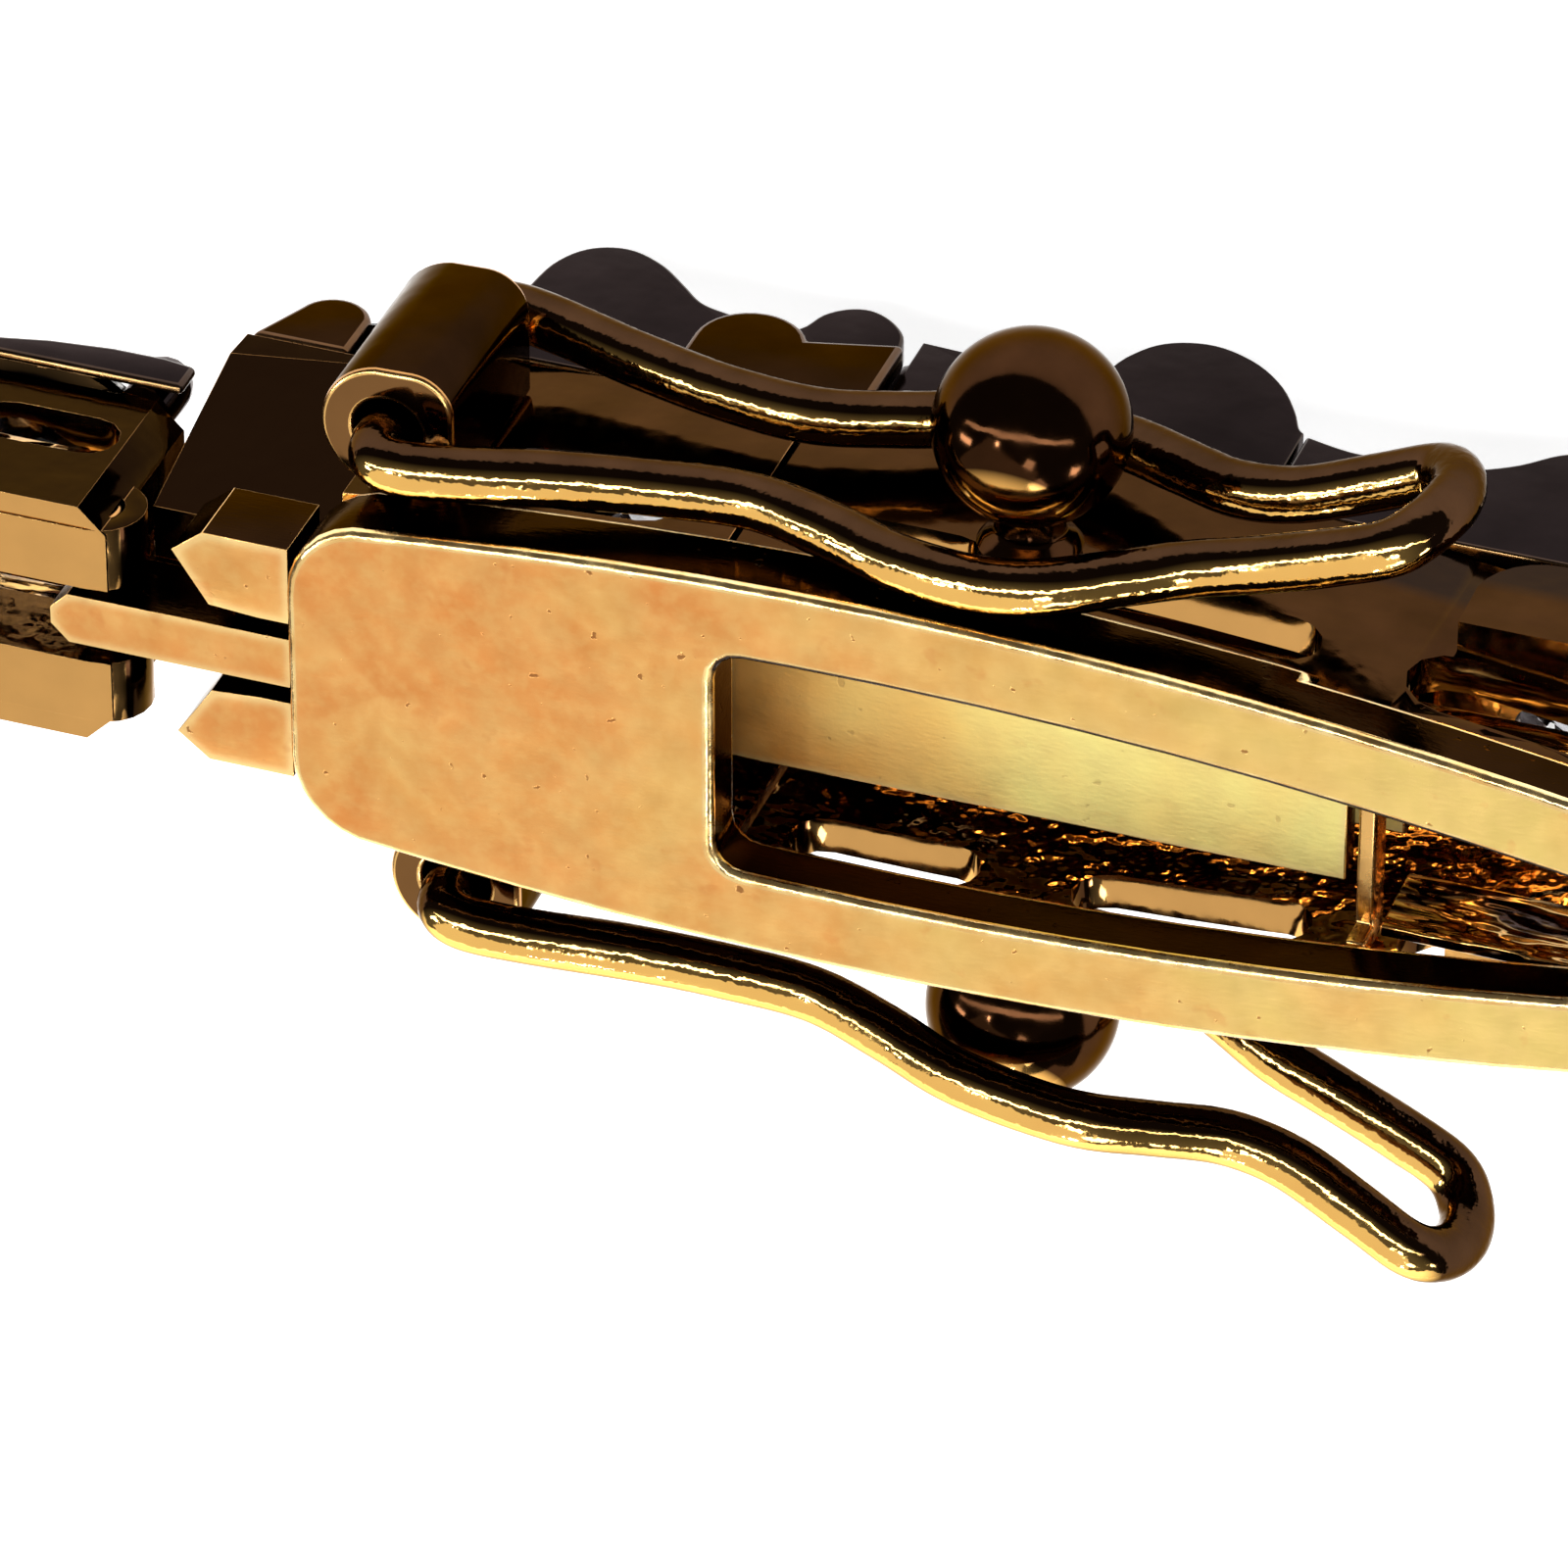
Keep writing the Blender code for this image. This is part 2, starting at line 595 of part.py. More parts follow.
def spring_leaf():
    """The sprung leaf, from the fold to the end that locks behind the lip."""
    root = FOLD_X + GAP
    top = leaf_root_depth()
    side = [(root, -top), (LEAF_END_X, -LEAF_END_TOP), (LEAF_END_X, -LEAF_END_TOP - STRIP_THICKNESS),
            (root, -top - STRIP_THICKNESS)]
    leaf = slab("spring_leaf", side, -STRIP_HALF_WIDTH, STRIP_HALF_WIDTH, PARTS, axes=("x", "z", "y"))
    for sign in (1, -1):
        wedge = [(root - 1, sign * (STRIP_HALF_WIDTH + 0.05)), (LEAF_END_X + 1, sign * LEAF_END_HALF_WIDTH),
                 (LEAF_END_X + 1, sign * 3), (root - 1, sign * 3)]
        cut(leaf, slab(f"leaf_taper_{sign}", wedge, -5, 1, CUTTERS))
    round_edges(leaf, 0.04, 1)
    return finish_material(leaf, GOLD_SPRING)


def ball_stud(name, side):
    """A ball on a short stem with a soldered collar at the wall."""
    wall = plate_half_width(BALL_X) - BODY_INSET + GAP
    radius = BALL_DIAMETER / 2
    stem = STEM_DIAMETER / 2
    start = atan2(-(radius ** 2 - stem ** 2) ** 0.5, stem)
    profile = [(0, wall), (stem + 0.2, wall), (stem + 0.12, wall + 0.14), (stem, wall + 0.22)]
    for step in range(11):
        angle = start + (pi / 2 - start) * step / 10
        profile.append((radius * cos(angle) if step < 10 else 0, BALL_Y + radius * sin(angle)))
    stud = turned(name, profile, PARTS)
    stud.matrix_world = Matrix.Translation((BALL_X * MM, 0, -CATCH_DEPTH * MM)) @ Matrix.Rotation(
        -side * pi / 2, 4, "X")
    return finish_material(stud, GOLD_POLISHED)


def tail_tab():
    """The hinge tab for the next link, on the tongue half's end."""
    left = PLATE_RIGHT_X + 0.2 + GAP
    profile = [(left, -DECK_BOTTOM), (left, -PLATE_THICKNESS - GAP - 0.5)]
    end_x = left + TAIL_TAB_LENGTH - LUG_RADIUS
    depth = PLATE_THICKNESS + GAP + 0.5 + LUG_RADIUS
    profile += arc((end_x, -depth), LUG_RADIUS, 90, -90, 8)
    profile += [(left + 0.7, -depth - LUG_RADIUS), (left + 0.4, -DECK_BOTTOM)]
    tab = slab("tail_tab", profile, -0.45, 0.45, PARTS, axes=("x", "z", "y"))
    cut(tab, rod("tail_tab_hole", (end_x, 0, -depth), "y", PIN_DIAMETER, 3, CUTTERS))
    return finish_material(tab, GOLD_POLISHED)


# Knuckles and catches

def knuckle(name, hinge):
    """A strap rolled round the catch wire, with its foot on the box half's wall."""
    x, y = hinge[0], abs(hinge[1])
    side = 1 if hinge[1] > 0 else -1
    right = x + KNUCKLE_RADIUS - 0.02
    outer = y + KNUCKLE_RADIUS
    foot = plate_half_width(x + 0.5) - BODY_INSET + GAP
    outline = [(right, foot)] + arc((right - KNUCKLE_TIGHT, outer - KNUCKLE_TIGHT), KNUCKLE_TIGHT, 0, 90, 6)
    outline += arc((x, y), KNUCKLE_RADIUS, 100, 255, 12)
    outline += arc((x, y), KNUCKLE_BORE / 2, 255, -75, 20) + [(x + 0.28, foot)]
    points = [(px, side * py) for px, py in outline]
    strap = slab(name, points, -KNUCKLE_BOTTOM, -KNUCKLE_TOP, PARTS)
    return finish_material(strap, GOLD_POLISHED)


# Catch wire: distance from the hinge, half width of the loop and how far it stands out
CATCH_ROUTE = [
    (0.0, 0.0, 0.0), (0.0, 0.6, 0.0), (0.0, 1.12, 0.0), (0.1, 1.4, 0.0), (0.38, 1.5, 0.0), (1.0, 1.4, 0.0),
    (2.0, 1.14, 0.0), (3.0, 0.95, 0.0), (4.0, 0.86, 0.0), (4.9, 1.1, 0.0), (5.7, 1.4, 0.0),
    (6.5, 1.5, 0.0), (7.2, 1.42, 0.04), (7.9, 1.1, 0.11), (8.6, 0.78, 0.19), (9.3, 0.68, 0.34),
    (10.1, 0.72, 0.64), (10.7, 0.72, 0.9), (11.0, 0.42, 1.07), (11.1, 0.0, 1.12),
]
FAR_LIFT = 0.2              # the side towards the stones is wider at the hinge
FAR_LIFT_LENGTH = 3.0
STEPS_PER_SPAN = 2


def smooth_closed(points, steps):
    """A closed curve through the points, with steps along each span."""
    count = len(points)
    route = []
    for i in range(count):
        a, b, c, d = (Vector(points[(i + k) % count]) for k in (-1, 0, 1, 2))
        for step in range(steps):
            t = step / steps
            bend = (2 * a - 5 * b + 4 * c - d) * t ** 2 + (3 * b - a - 3 * c + d) * t ** 3
            route.append((2 * b + (c - a) * t + bend) / 2)
    return route


def safety_catch(name, hinge, empty):
    side = 1 if hinge[1] > 0 else -1
    far = [(x, -h - FAR_LIFT * max(0, 1 - x / FAR_LIFT_LENGTH), out) for x, h, out in CATCH_ROUTE[1:-1]]
    loop = CATCH_ROUTE + far[::-1]
    points = [(hinge[0] + x, hinge[1] + side * out, -CATCH_DEPTH + h) for x, h, out in loop]
    catch = wire(name, smooth_closed(points, STEPS_PER_SPAN), WIRE_DIAMETER, True, PARTS)
    hang(catch, empty)
    return finish_material(catch, GOLD_POLISHED)


# Neighbouring link

def left_link_body(empty):
    upper = [(LINK_LEFT_X, LINK_HALF_WIDTH - 0.3), (LINK_LEFT_X + 0.3, LINK_HALF_WIDTH)]
    upper += [(LINK_RIGHT_X - 0.3, LINK_HALF_WIDTH), (LINK_RIGHT_X, LINK_HALF_WIDTH - 0.3)]
    body = slab("left_link_body", mirrored(upper), -LINK_BOTTOM, -LINK_TOP, PARTS)
    inner = LINK_HALF_WIDTH - LINK_WALL
    centre = stone_x(-1)
    for side in (1, -1):
        lug = arc((PIN_X, -PIN_DEPTH), LUG_RADIUS, -90, 90, 10)
        lug += [(LINK_LEFT_X + 0.6, -PIN_DEPTH + LUG_RADIUS), (LINK_LEFT_X + 0.6, -PIN_DEPTH - LUG_RADIUS)]
        low, high = sorted((side * LUG_INNER_Y, side * LUG_OUTER_Y))
        join(body, slab(f"link_lug_{side}", lug, low, high, CUTTERS, axes=("x", "z", "y")))
    cut(body,
        block("link_hollow", (LINK_LEFT_X + LINK_WALL, -LUG_INNER_Y, -LINK_DECK_TOP), (-1, LUG_INNER_Y, 1),
              CUTTERS),
        block("link_room", (LINK_LEFT_X + LINK_WALL, -inner, -LINK_DECK_TOP),
              (LINK_RIGHT_X - 0.5, inner, -1.2), CUTTERS),
        slab("link_window", oval((LINK_WINDOW_X, -1.45), 0.8, 0.34), -4, 4, CUTTERS, axes=("x", "z", "y")),
        rod("link_seat", (centre, 0, -LINK_BOTTOM), "z", 2 * LINK_SEAT_RADIUS, 2 * (LINK_BOTTOM - 1.4),
            CUTTERS),
        rod("lug_holes", (PIN_X, 0, -PIN_DEPTH), "y", PIN_DIAMETER + 2 * PIN_CLEARANCE,
            2 * LUG_OUTER_Y + 0.04, CUTTERS))
    hang(body, empty)
    return finish_material(body, GOLD_POLISHED)


def left_link(empty):
    left_link_body(empty)
    base = LINK_BOTTOM + GAP
    girdle = base + 0.4
    ring = collet("left_link_setting", stone_x(-1), base, girdle)
    edge = LINK_RIGHT_X - 0.02
    side_outline = [(-6.2, base), (-6.2, LINK_SIDE_TOP - 0.36), (-5.4, LINK_SIDE_TOP - 0.22),
                    (-4.8, LINK_SIDE_TOP - 0.08), (-4.1, LINK_SIDE_TOP), (-3.5, LINK_SIDE_TOP),
                    (edge, LINK_SIDE_TOP - 0.06), (edge, base)]
    add_fins(ring, side_outline, 1.55, LINK_SIDE_Y)
    hang(ring, empty)
    hang(stone("left_link_stone", stone_x(-1), girdle), empty)


def build():
    global PARTS, CUTTERS
    clear_scene()
    PARTS = new_collection("bracelet_box_clasp")
    CUTTERS = new_collection("cutters")
    upper_hinge = pivot("catch_upper_axis", (*UPPER_HINGE, -CATCH_DEPTH))
    lower_hinge = pivot("catch_lower_axis", (*LOWER_HINGE, -CATCH_DEPTH))
    link_hinge = pivot("left_link_axis", (PIN_X, 0, -PIN_DEPTH))
    tongue = pivot("tongue_slide_axis", (SPLIT_X, 0, -STRIP_TOP))
    leaf_hinge = pivot("leaf_press_axis", (FOLD_X, 0, -leaf_root_depth() - STRIP_THICKNESS / 2))

    base_plate()
    catch_lip()
    link_tab()
    link_pin()
    box_gallery()
    knuckle("knuckle_upper", UPPER_HINGE)
    knuckle("knuckle_lower", LOWER_HINGE)
    box_settings()

    hang(tongue_gallery(), tongue)
    hang(tongue_strip(), tongue)
    hang(ball_stud("ball_stud_upper", 1), tongue)
    hang(ball_stud("ball_stud_lower", -1), tongue)
    hang(tail_tab(), tongue)
    tongue_settings(tongue)
    hang(spring_leaf(), leaf_hinge)

    safety_catch("safety_catch_upper", UPPER_HINGE, upper_hinge)
    safety_catch("safety_catch_lower", LOWER_HINGE, lower_hinge)
    left_link(link_hinge)
    lower_hinge.rotation_euler.z = -radians(LOWER_CATCH_OPEN)


build()
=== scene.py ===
from math import asin, cos, pi, radians, sin, tan

import bmesh
import bpy
from mathutils import Matrix, Vector


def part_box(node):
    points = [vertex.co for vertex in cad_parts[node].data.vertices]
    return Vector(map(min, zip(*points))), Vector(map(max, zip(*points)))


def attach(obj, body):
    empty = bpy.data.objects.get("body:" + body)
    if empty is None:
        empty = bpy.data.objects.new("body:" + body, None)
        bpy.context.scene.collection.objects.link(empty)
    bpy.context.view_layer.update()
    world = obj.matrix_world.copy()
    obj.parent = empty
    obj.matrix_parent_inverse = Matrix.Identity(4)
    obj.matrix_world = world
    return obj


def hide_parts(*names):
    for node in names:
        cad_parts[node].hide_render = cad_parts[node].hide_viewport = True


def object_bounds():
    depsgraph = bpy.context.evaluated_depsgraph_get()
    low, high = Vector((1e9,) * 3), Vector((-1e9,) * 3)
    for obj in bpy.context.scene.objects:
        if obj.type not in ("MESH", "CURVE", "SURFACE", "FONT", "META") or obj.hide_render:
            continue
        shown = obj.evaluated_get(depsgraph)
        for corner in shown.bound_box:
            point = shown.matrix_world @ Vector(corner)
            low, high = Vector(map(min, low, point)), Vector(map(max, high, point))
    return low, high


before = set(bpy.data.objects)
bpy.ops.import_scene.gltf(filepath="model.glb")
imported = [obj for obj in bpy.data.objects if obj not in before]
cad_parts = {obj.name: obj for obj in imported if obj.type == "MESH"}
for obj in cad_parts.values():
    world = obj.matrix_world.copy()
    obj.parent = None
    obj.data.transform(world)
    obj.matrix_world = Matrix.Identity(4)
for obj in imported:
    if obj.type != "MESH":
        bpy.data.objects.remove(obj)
cad_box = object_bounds()

MM = 0.001

# Sizes below are in millimetres and repeat the part's own
STONE_RADIUS = 1.5
PAVILION_DEPTH = 1.4
GIRDLE_HEIGHT = 0.1
TABLE_RADIUS = 0.85
PRONG_RADIUS = 0.31
END_FIN_LEFT = -2.9
END_FIN_RIGHT = -1.8
END_FIN_X = -2.2
END_FIN_RADIUS = 0.42
END_FIN_TOP = 4.6
END_FIN_Y = 1.62
END_FIN_INNER_Y = 1.46
SPLIT_FIN_LEFT = 1.8
SPLIT_FIN_RIGHT = 3.96
SPLIT_FIN_X = 2.42
SPLIT_FIN_RADIUS = 0.62
SPLIT_FIN_NOTCH_X = 3.2
SPLIT_FIN_NOTCH = 0.3
SPLIT_FIN_TOP = 5.02
SPLIT_FIN_INNER_Y = 1.88
SPLIT_FIN_Y = 2.2
RIM_INNER_Y = 1.66
RIM_OUTER_Y = 1.98
WEB_INNER_Y = 1.15
WEB_OUTER_Y = 1.82
WEB_HALF_LENGTH = 0.5
WEB_TOP = 4.8
LINK_SIDE_LEFT = -6.2
LINK_SIDE_RIGHT = -3.14
LINK_SIDE_TOP = 2.8
LINK_SIDE_INNER_Y = 1.55
LINK_SIDE_Y = 1.68
PLATE_HALF_WIDTH = 2.27
PLATE_WIDEST_X = 5.2
PLATE_SIDE_RADIUS = 46.7
WALL_INSET = 0.08
UPPER_HINGE = (-0.25, 2.62)
LOWER_HINGE = (0.4, -2.9)
LOWER_CATCH_OPEN = 7.2
CATCH_DEPTH = 1.85
WIRE_RADIUS = 0.3
KNUCKLE_RADIUS = 0.74
KNUCKLE_TIGHT = 0.45
KNUCKLE_BORE_RADIUS = 0.38
BALL_X = 6.4
BALL_Y = 3.6
BALL_RADIUS = 1.03
STEM_RADIUS = 0.35

# Finer detail of the scene's own: sizes in millimetres, counts of steps, and the share of a prong kept
STAR_RADIUS = 1.19
STAR_DROP = 0.24
MAINS_RADIUS = 0.62
MAINS_DEPTH = 0.86
STONE_EASE = 0.01
COLLAR = [(0.19, 0.0), (0.2, 0.05), (0.13, 0.13), (0.04, 0.18), (0.0, 0.24)]
LINK_PRONG_TIP = 0.5
BALL_STEPS = 32
RIM_STEPS = 4
EDGE_STEPS = 3
RIM_BEVEL = 0.04
PLATE_BEVEL = 0.07
KNUCKLE_BEVEL = 0.06
BACKING_BEVEL = 0.03
LINK_BACKING = dict(left=-6.05, right=-3.68, inner_y=0.82, outer_y=0.98, top=1.24, bottom=1.86)
SKIRT_BACKING = dict(left=10.5, right=13.3, inner_y=1.0, outer_y=1.14, top=0.98, bottom=1.98)

# A prong from the girdle to its tip: how far it leans in, its height and its share of the full radius
PRONG_TIP = [(0.0, 0.0, 1), (0.04, 0.22, 1), (0.12, 0.4, 0.98), (0.26, 0.57, 0.92), (0.38, 0.68, 0.75),
             (0.43, 0.72, 0.5), (0.45, 0.735, 0.2)]

# Outlines of the scalloped rims, as (place along the bracelet, depth) pairs
BOX_RIM = [(-0.27, 4.99), (-0.2, 5.45), (-0.02, 5.8), (0.24, 5.98), (0.56, 6.01), (0.94, 5.84),
           (1.28, 5.55), (1.56, 5.3), (1.85, 5.2), (2.4, 5.1), (2.7, 5.17), (2.84, 5.5), (3.05, 5.7),
           (3.3, 5.76), (3.56, 5.65), (3.78, 5.41), (3.85, 5.1)]
FIRST_TONGUE_RIM = [(4.02, 5.34), (4.66, 5.3), (5.5, 5.22), (5.92, 5.34), (6.1, 5.79), (6.33, 6.13),
                    (6.65, 6.3), (7.02, 6.32), (7.46, 6.14), (7.83, 5.81), (8.09, 5.41), (8.22, 5.13),
                    (8.3, 5.05)]
SECOND_TONGUE_RIM = [(8.34, 5.02), (8.87, 4.9), (9.4, 4.92), (9.9, 4.96), (10.2, 5.04), (10.56, 5.26),
                     (10.9, 5.58), (11.25, 5.72), (11.6, 5.58), (11.9, 5.2)]
BOX_WEB_X = 1.85
FIRST_TONGUE_WEB_X = 5.2
SECOND_TONGUE_WEB_X = 8.91

# Safety catches: distance from the hinge, half width of the loop and how far it stands out
CATCH_ROUTE = [
    (0.0, 0.0, 0.0), (0.0, 0.6, 0.0), (0.0, 1.12, 0.0), (0.1, 1.4, 0.0), (0.38, 1.5, 0.0), (1.0, 1.4, 0.0),
    (2.0, 1.14, 0.0), (3.0, 0.95, 0.0), (4.0, 0.86, 0.0), (4.9, 1.1, 0.0), (5.7, 1.4, 0.0),
    (6.5, 1.5, 0.0), (7.2, 1.42, 0.04), (7.9, 1.1, 0.11), (8.6, 0.78, 0.19), (9.3, 0.68, 0.34),
    (10.1, 0.72, 0.64), (10.7, 0.72, 0.9), (11.0, 0.42, 1.07), (11.1, 0.0, 1.12),
]
FAR_LIFT = 0.2
FAR_LIFT_LENGTH = 3.0
WIRE_STEPS = 8

# Camera: the photograph looks down on the plate from the upper catch's side, with the wrist side towards it
CAMERA_BACK = Vector((0.280, 0.574, 0.770))
CAMERA_RIGHT = Vector((0.940, 0.0, -0.342))
CAMERA_AIM = Vector((4.41, -0.06, 0.0)) * MM
FIELD_WIDTH = 16.0 * MM
FIELD_ANGLE = radians(8)
SENSOR = 36.0


def add_camera():
    data = bpy.data.cameras.new("photo_camera")
    camera = bpy.data.objects.new("photo_camera", data)
    bpy.context.scene.collection.objects.link(camera)
    back = CAMERA_BACK.normalized()
    right = (CAMERA_RIGHT - back * CAMERA_RIGHT.dot(back)).normalized()
    up = back.cross(right)
    turn = Matrix((right, up, back)).transposed().to_4x4()
    distance = FIELD_WIDTH / 2 / tan(FIELD_ANGLE / 2)
    camera.matrix_world = Matrix.Translation(CAMERA_AIM + back * distance) @ turn
    data.sensor_width = SENSOR
    data.lens = SENSOR / 2 / tan(FIELD_ANGLE / 2)
    data.clip_start = distance * 0.05
    data.clip_end = distance * 100
    bpy.context.scene.camera = camera


# Materials

SIDE_SHADE_BROWN = (0.026, 0.0105, 0.0042)
DARKEST_SHADE_BROWN = (0.011, 0.0045, 0.0018)
GREY_BROWN = (0.013, 0.0085, 0.008)
EDGE_HIGHLIGHT_GOLD = (0.95, 0.76, 0.36)
BROWN_EDGE = (0.86, 0.68, 0.53)
DARK_EDGE = (0.60, 0.53, 0.47)
GREY_EDGE = (0.64, 0.605, 0.60)
BRIGHT_GOLD = (0.84, 0.51, 0.18)
PEACH_GOLD = (0.72, 0.30, 0.085)
YELLOW_GOLD = (0.71, 0.54, 0.175)
PALE_GOLD = (0.86, 0.62, 0.24)
RED_GOLD = (0.62, 0.22, 0.06)
WORN_GOLD = (0.98, 0.76, 0.36)
RIDGE_GOLD = (0.95, 0.56, 0.18)
GROOVE_SHADE_BROWN = (0.05, 0.016, 0.005)
SHADOW_LINE_BROWN = (0.02, 0.008, 0.003)
CUP_GREY = (0.008, 0.0055, 0.0055)
LEAF_ORANGE = (1.0, 0.45, 0.09)
LEAF_YELLOW = (1.0, 0.92, 0.35)
INSIDE_GOLD = (0.30, 0.15, 0.05)
PIT_BROWN = (0.26, 0.10, 0.03)


class Shader:
    """A Principled material whose inputs are fed from object-space textures."""

    def __init__(self, name):
        self.material = bpy.data.materials.new(name)
        self.material.use_nodes = True
        self.nodes = self.material.node_tree.nodes
        self.links = self.material.node_tree.links
        self.surface = self.nodes["Principled BSDF"]
        coordinates = self.nodes.new("ShaderNodeTexCoord").outputs
        self.place = coordinates["Object"]
        self.facing = coordinates["Normal"]

    def set(self, **values):
        for name, value in values.items():
            self.surface.inputs[name.replace("_", " ")].default_value = value

    def feed(self, name, output):
        self.links.new(output, self.surface.inputs[name])

    def noise(self, size_mm, detail=4.0, stretch=(1, 1, 1)):
        mapping = self.nodes.new("ShaderNodeMapping")
        mapping.inputs["Scale"].default_value = [1 / (size_mm * MM * s) for s in stretch]
        self.links.new(self.place, mapping.inputs["Vector"])
        texture = self.nodes.new("ShaderNodeTexNoise")
        texture.inputs["Scale"].default_value = 1.0
        texture.inputs["Detail"].default_value = detail
        self.links.new(mapping.outputs["Vector"], texture.inputs["Vector"])
        return texture.outputs["Fac"]

    def span(self, value, low, high, to_low=0.0, to_high=1.0):
        step = self.nodes.new("ShaderNodeMapRange")
        self.links.new(value, step.inputs["Value"])
        ends = {"From Min": low, "From Max": high, "To Min": to_low, "To Max": to_high}
        for name, number in ends.items():
            step.inputs[name].default_value = number
        return step.outputs["Result"]

    def axis(self, name):
        """The place along one axis, in metres."""
        split = self.nodes.new("ShaderNodeSeparateXYZ")
        self.links.new(self.place, split.inputs["Vector"])
        return split.outputs[name]

    def dot(self, first, second):
        step = self.nodes.new("ShaderNodeVectorMath")
        step.operation = "DOT_PRODUCT"
        self.links.new(first, step.inputs[0])
        if isinstance(second, tuple):
            step.inputs[1].default_value = second
        else:
            self.links.new(second, step.inputs[1])
        return step.outputs["Value"]

    def along(self, low_mm, high_mm):
        """0 at one place along the bracelet and 1 at another."""
        return self.span(self.axis("X"), low_mm * MM, high_mm * MM)

    def deeper(self, low_mm, high_mm, left_mm, right_mm):
        """1 below a depth and past a place along the bracelet."""
        depth = self.span(self.axis("Z"), -low_mm * MM, -high_mm * MM)
        return self.math("MULTIPLY", depth, self.along(left_mm, right_mm))

    def toward(self, direction, low, high):
        """1 on the faces that look in a direction."""
        return self.span(self.dot(self.facing, direction), low, high)

    def upward(self, low, high):
        """0 on the sides and 1 on the faces that look towards the wrist."""
        return self.toward((0, 0, 1), low, high)

    def inward(self):
        """1 on the wall faces that look towards the middle of the bracelet."""
        outward = self.math("MULTIPLY", self.axis("Y"), self.dot(self.facing, (0, 1, 0)))
        return self.span(outward, -0.3 * MM, -0.8 * MM)

    def near_edge(self, reach_mm, low, high):
        """1 along the edges and 0 further in than the reach."""
        rounded = self.nodes.new("ShaderNodeBevel")
        rounded.samples = 6
        rounded.inputs["Radius"].default_value = reach_mm * MM
        plain = self.nodes.new("ShaderNodeNewGeometry").outputs["True Normal"]
        return self.span(self.dot(rounded.outputs["Normal"], plain), high, low)

    def math(self, operation, first, second):
        step = self.nodes.new("ShaderNodeMath")
        step.operation = operation
        for socket, value in zip(step.inputs, (first, second)):
            if isinstance(value, (int, float)):
                socket.default_value = value
            else:
                self.links.new(value, socket)
        return step.outputs["Value"]

    def mix(self, factor, first, second):
        step = self.nodes.new("ShaderNodeMix")
        step.data_type = "RGBA"
        self.links.new(factor, step.inputs["Factor"])
        for name, value in (("A", first), ("B", second)):
            socket = [s for s in step.inputs if s.name == name and s.type == "RGBA"][0]
            if isinstance(value, tuple):
                socket.default_value = (*value, 1)
            else:
                self.links.new(value, socket)
        return [s for s in step.outputs if s.type == "RGBA"][0]

    def bump(self, height, depth_mm, strength=1.0, under=None):
        step = self.nodes.new("ShaderNodeBump")
        step.inputs["Strength"].default_value = strength
        step.inputs["Distance"].default_value = depth_mm * MM
        self.links.new(height, step.inputs["Height"])
        if under is not None:
            self.links.new(under, step.inputs["Normal"])
        return step.outputs["Normal"]


def satin_gold(name, closed_end, tongue_end, span_mm, side, marks, roughness):
    """Satin plating, yellower towards the tongue end, mottled and pitted, with a painted highlight along the
    edges; its sides are painted dark as shade.

    span_mm is where the colour changes along the bracelet, and marks is how strong flecks and pits are.
    """
    look = Shader(name)
    cloud = look.span(look.noise(0.8, 6), 0.34, 0.68)
    fleck = look.span(look.noise(0.22, 5), 0.42, 0.66)
    grain = look.span(look.noise(0.045, 4, (3, 1, 1)), 0.3, 0.7)
    pits = look.span(look.noise(0.2, 2), 0.70, 0.74)
    smears = look.span(look.noise(0.42, 3), 0.64, 0.72)
    top = look.upward(0.45, 0.75)
    tint = look.math("ADD", look.along(*span_mm), look.span(look.noise(2.2, 2), 0.3, 0.7, -0.3, 0.3))
    colour = look.mix(tint, closed_end, tongue_end)
    colour = look.mix(look.math("MULTIPLY", cloud, 0.35), colour, PALE_GOLD)
    colour = look.mix(look.math("MULTIPLY", fleck, 0.3 * marks), colour, PALE_GOLD)
    # Painted highlight: pale gold along the edges.
    colour = look.mix(look.math("MULTIPLY", look.near_edge(0.2, 0.85, 0.995), 0.75), colour, EDGE_HIGHLIGHT_GOLD)
    colour = look.mix(look.math("MULTIPLY", smears, 0.35 * marks), colour, RED_GOLD)
    colour = look.mix(look.math("MULTIPLY", pits, marks), colour, PIT_BROWN)
    # Painted shade: faces that do not look towards the wrist take the dark side colour.
    look.feed("Base Color", look.mix(top, look.mix(cloud, side, tuple(1.5 * c for c in side)), colour))
    worn = look.span(look.noise(0.5, 4), 0.3, 0.7, -0.06, 0.06)
    look.feed("Roughness", look.math("ADD", worn, look.span(top, 0, 1, 0.16, roughness)))
    fine = look.bump(grain, 0.003, 0.4)
    dents = look.math("SUBTRACT", look.math("MULTIPLY", cloud, 0.5), look.math("MULTIPLY", pits, marks))
    look.feed("Normal", look.bump(dents, 0.012, 0.6, fine))
    look.set(Metallic=1.0, Specular_Tint=(*DARK_EDGE, 1))
    return look.material


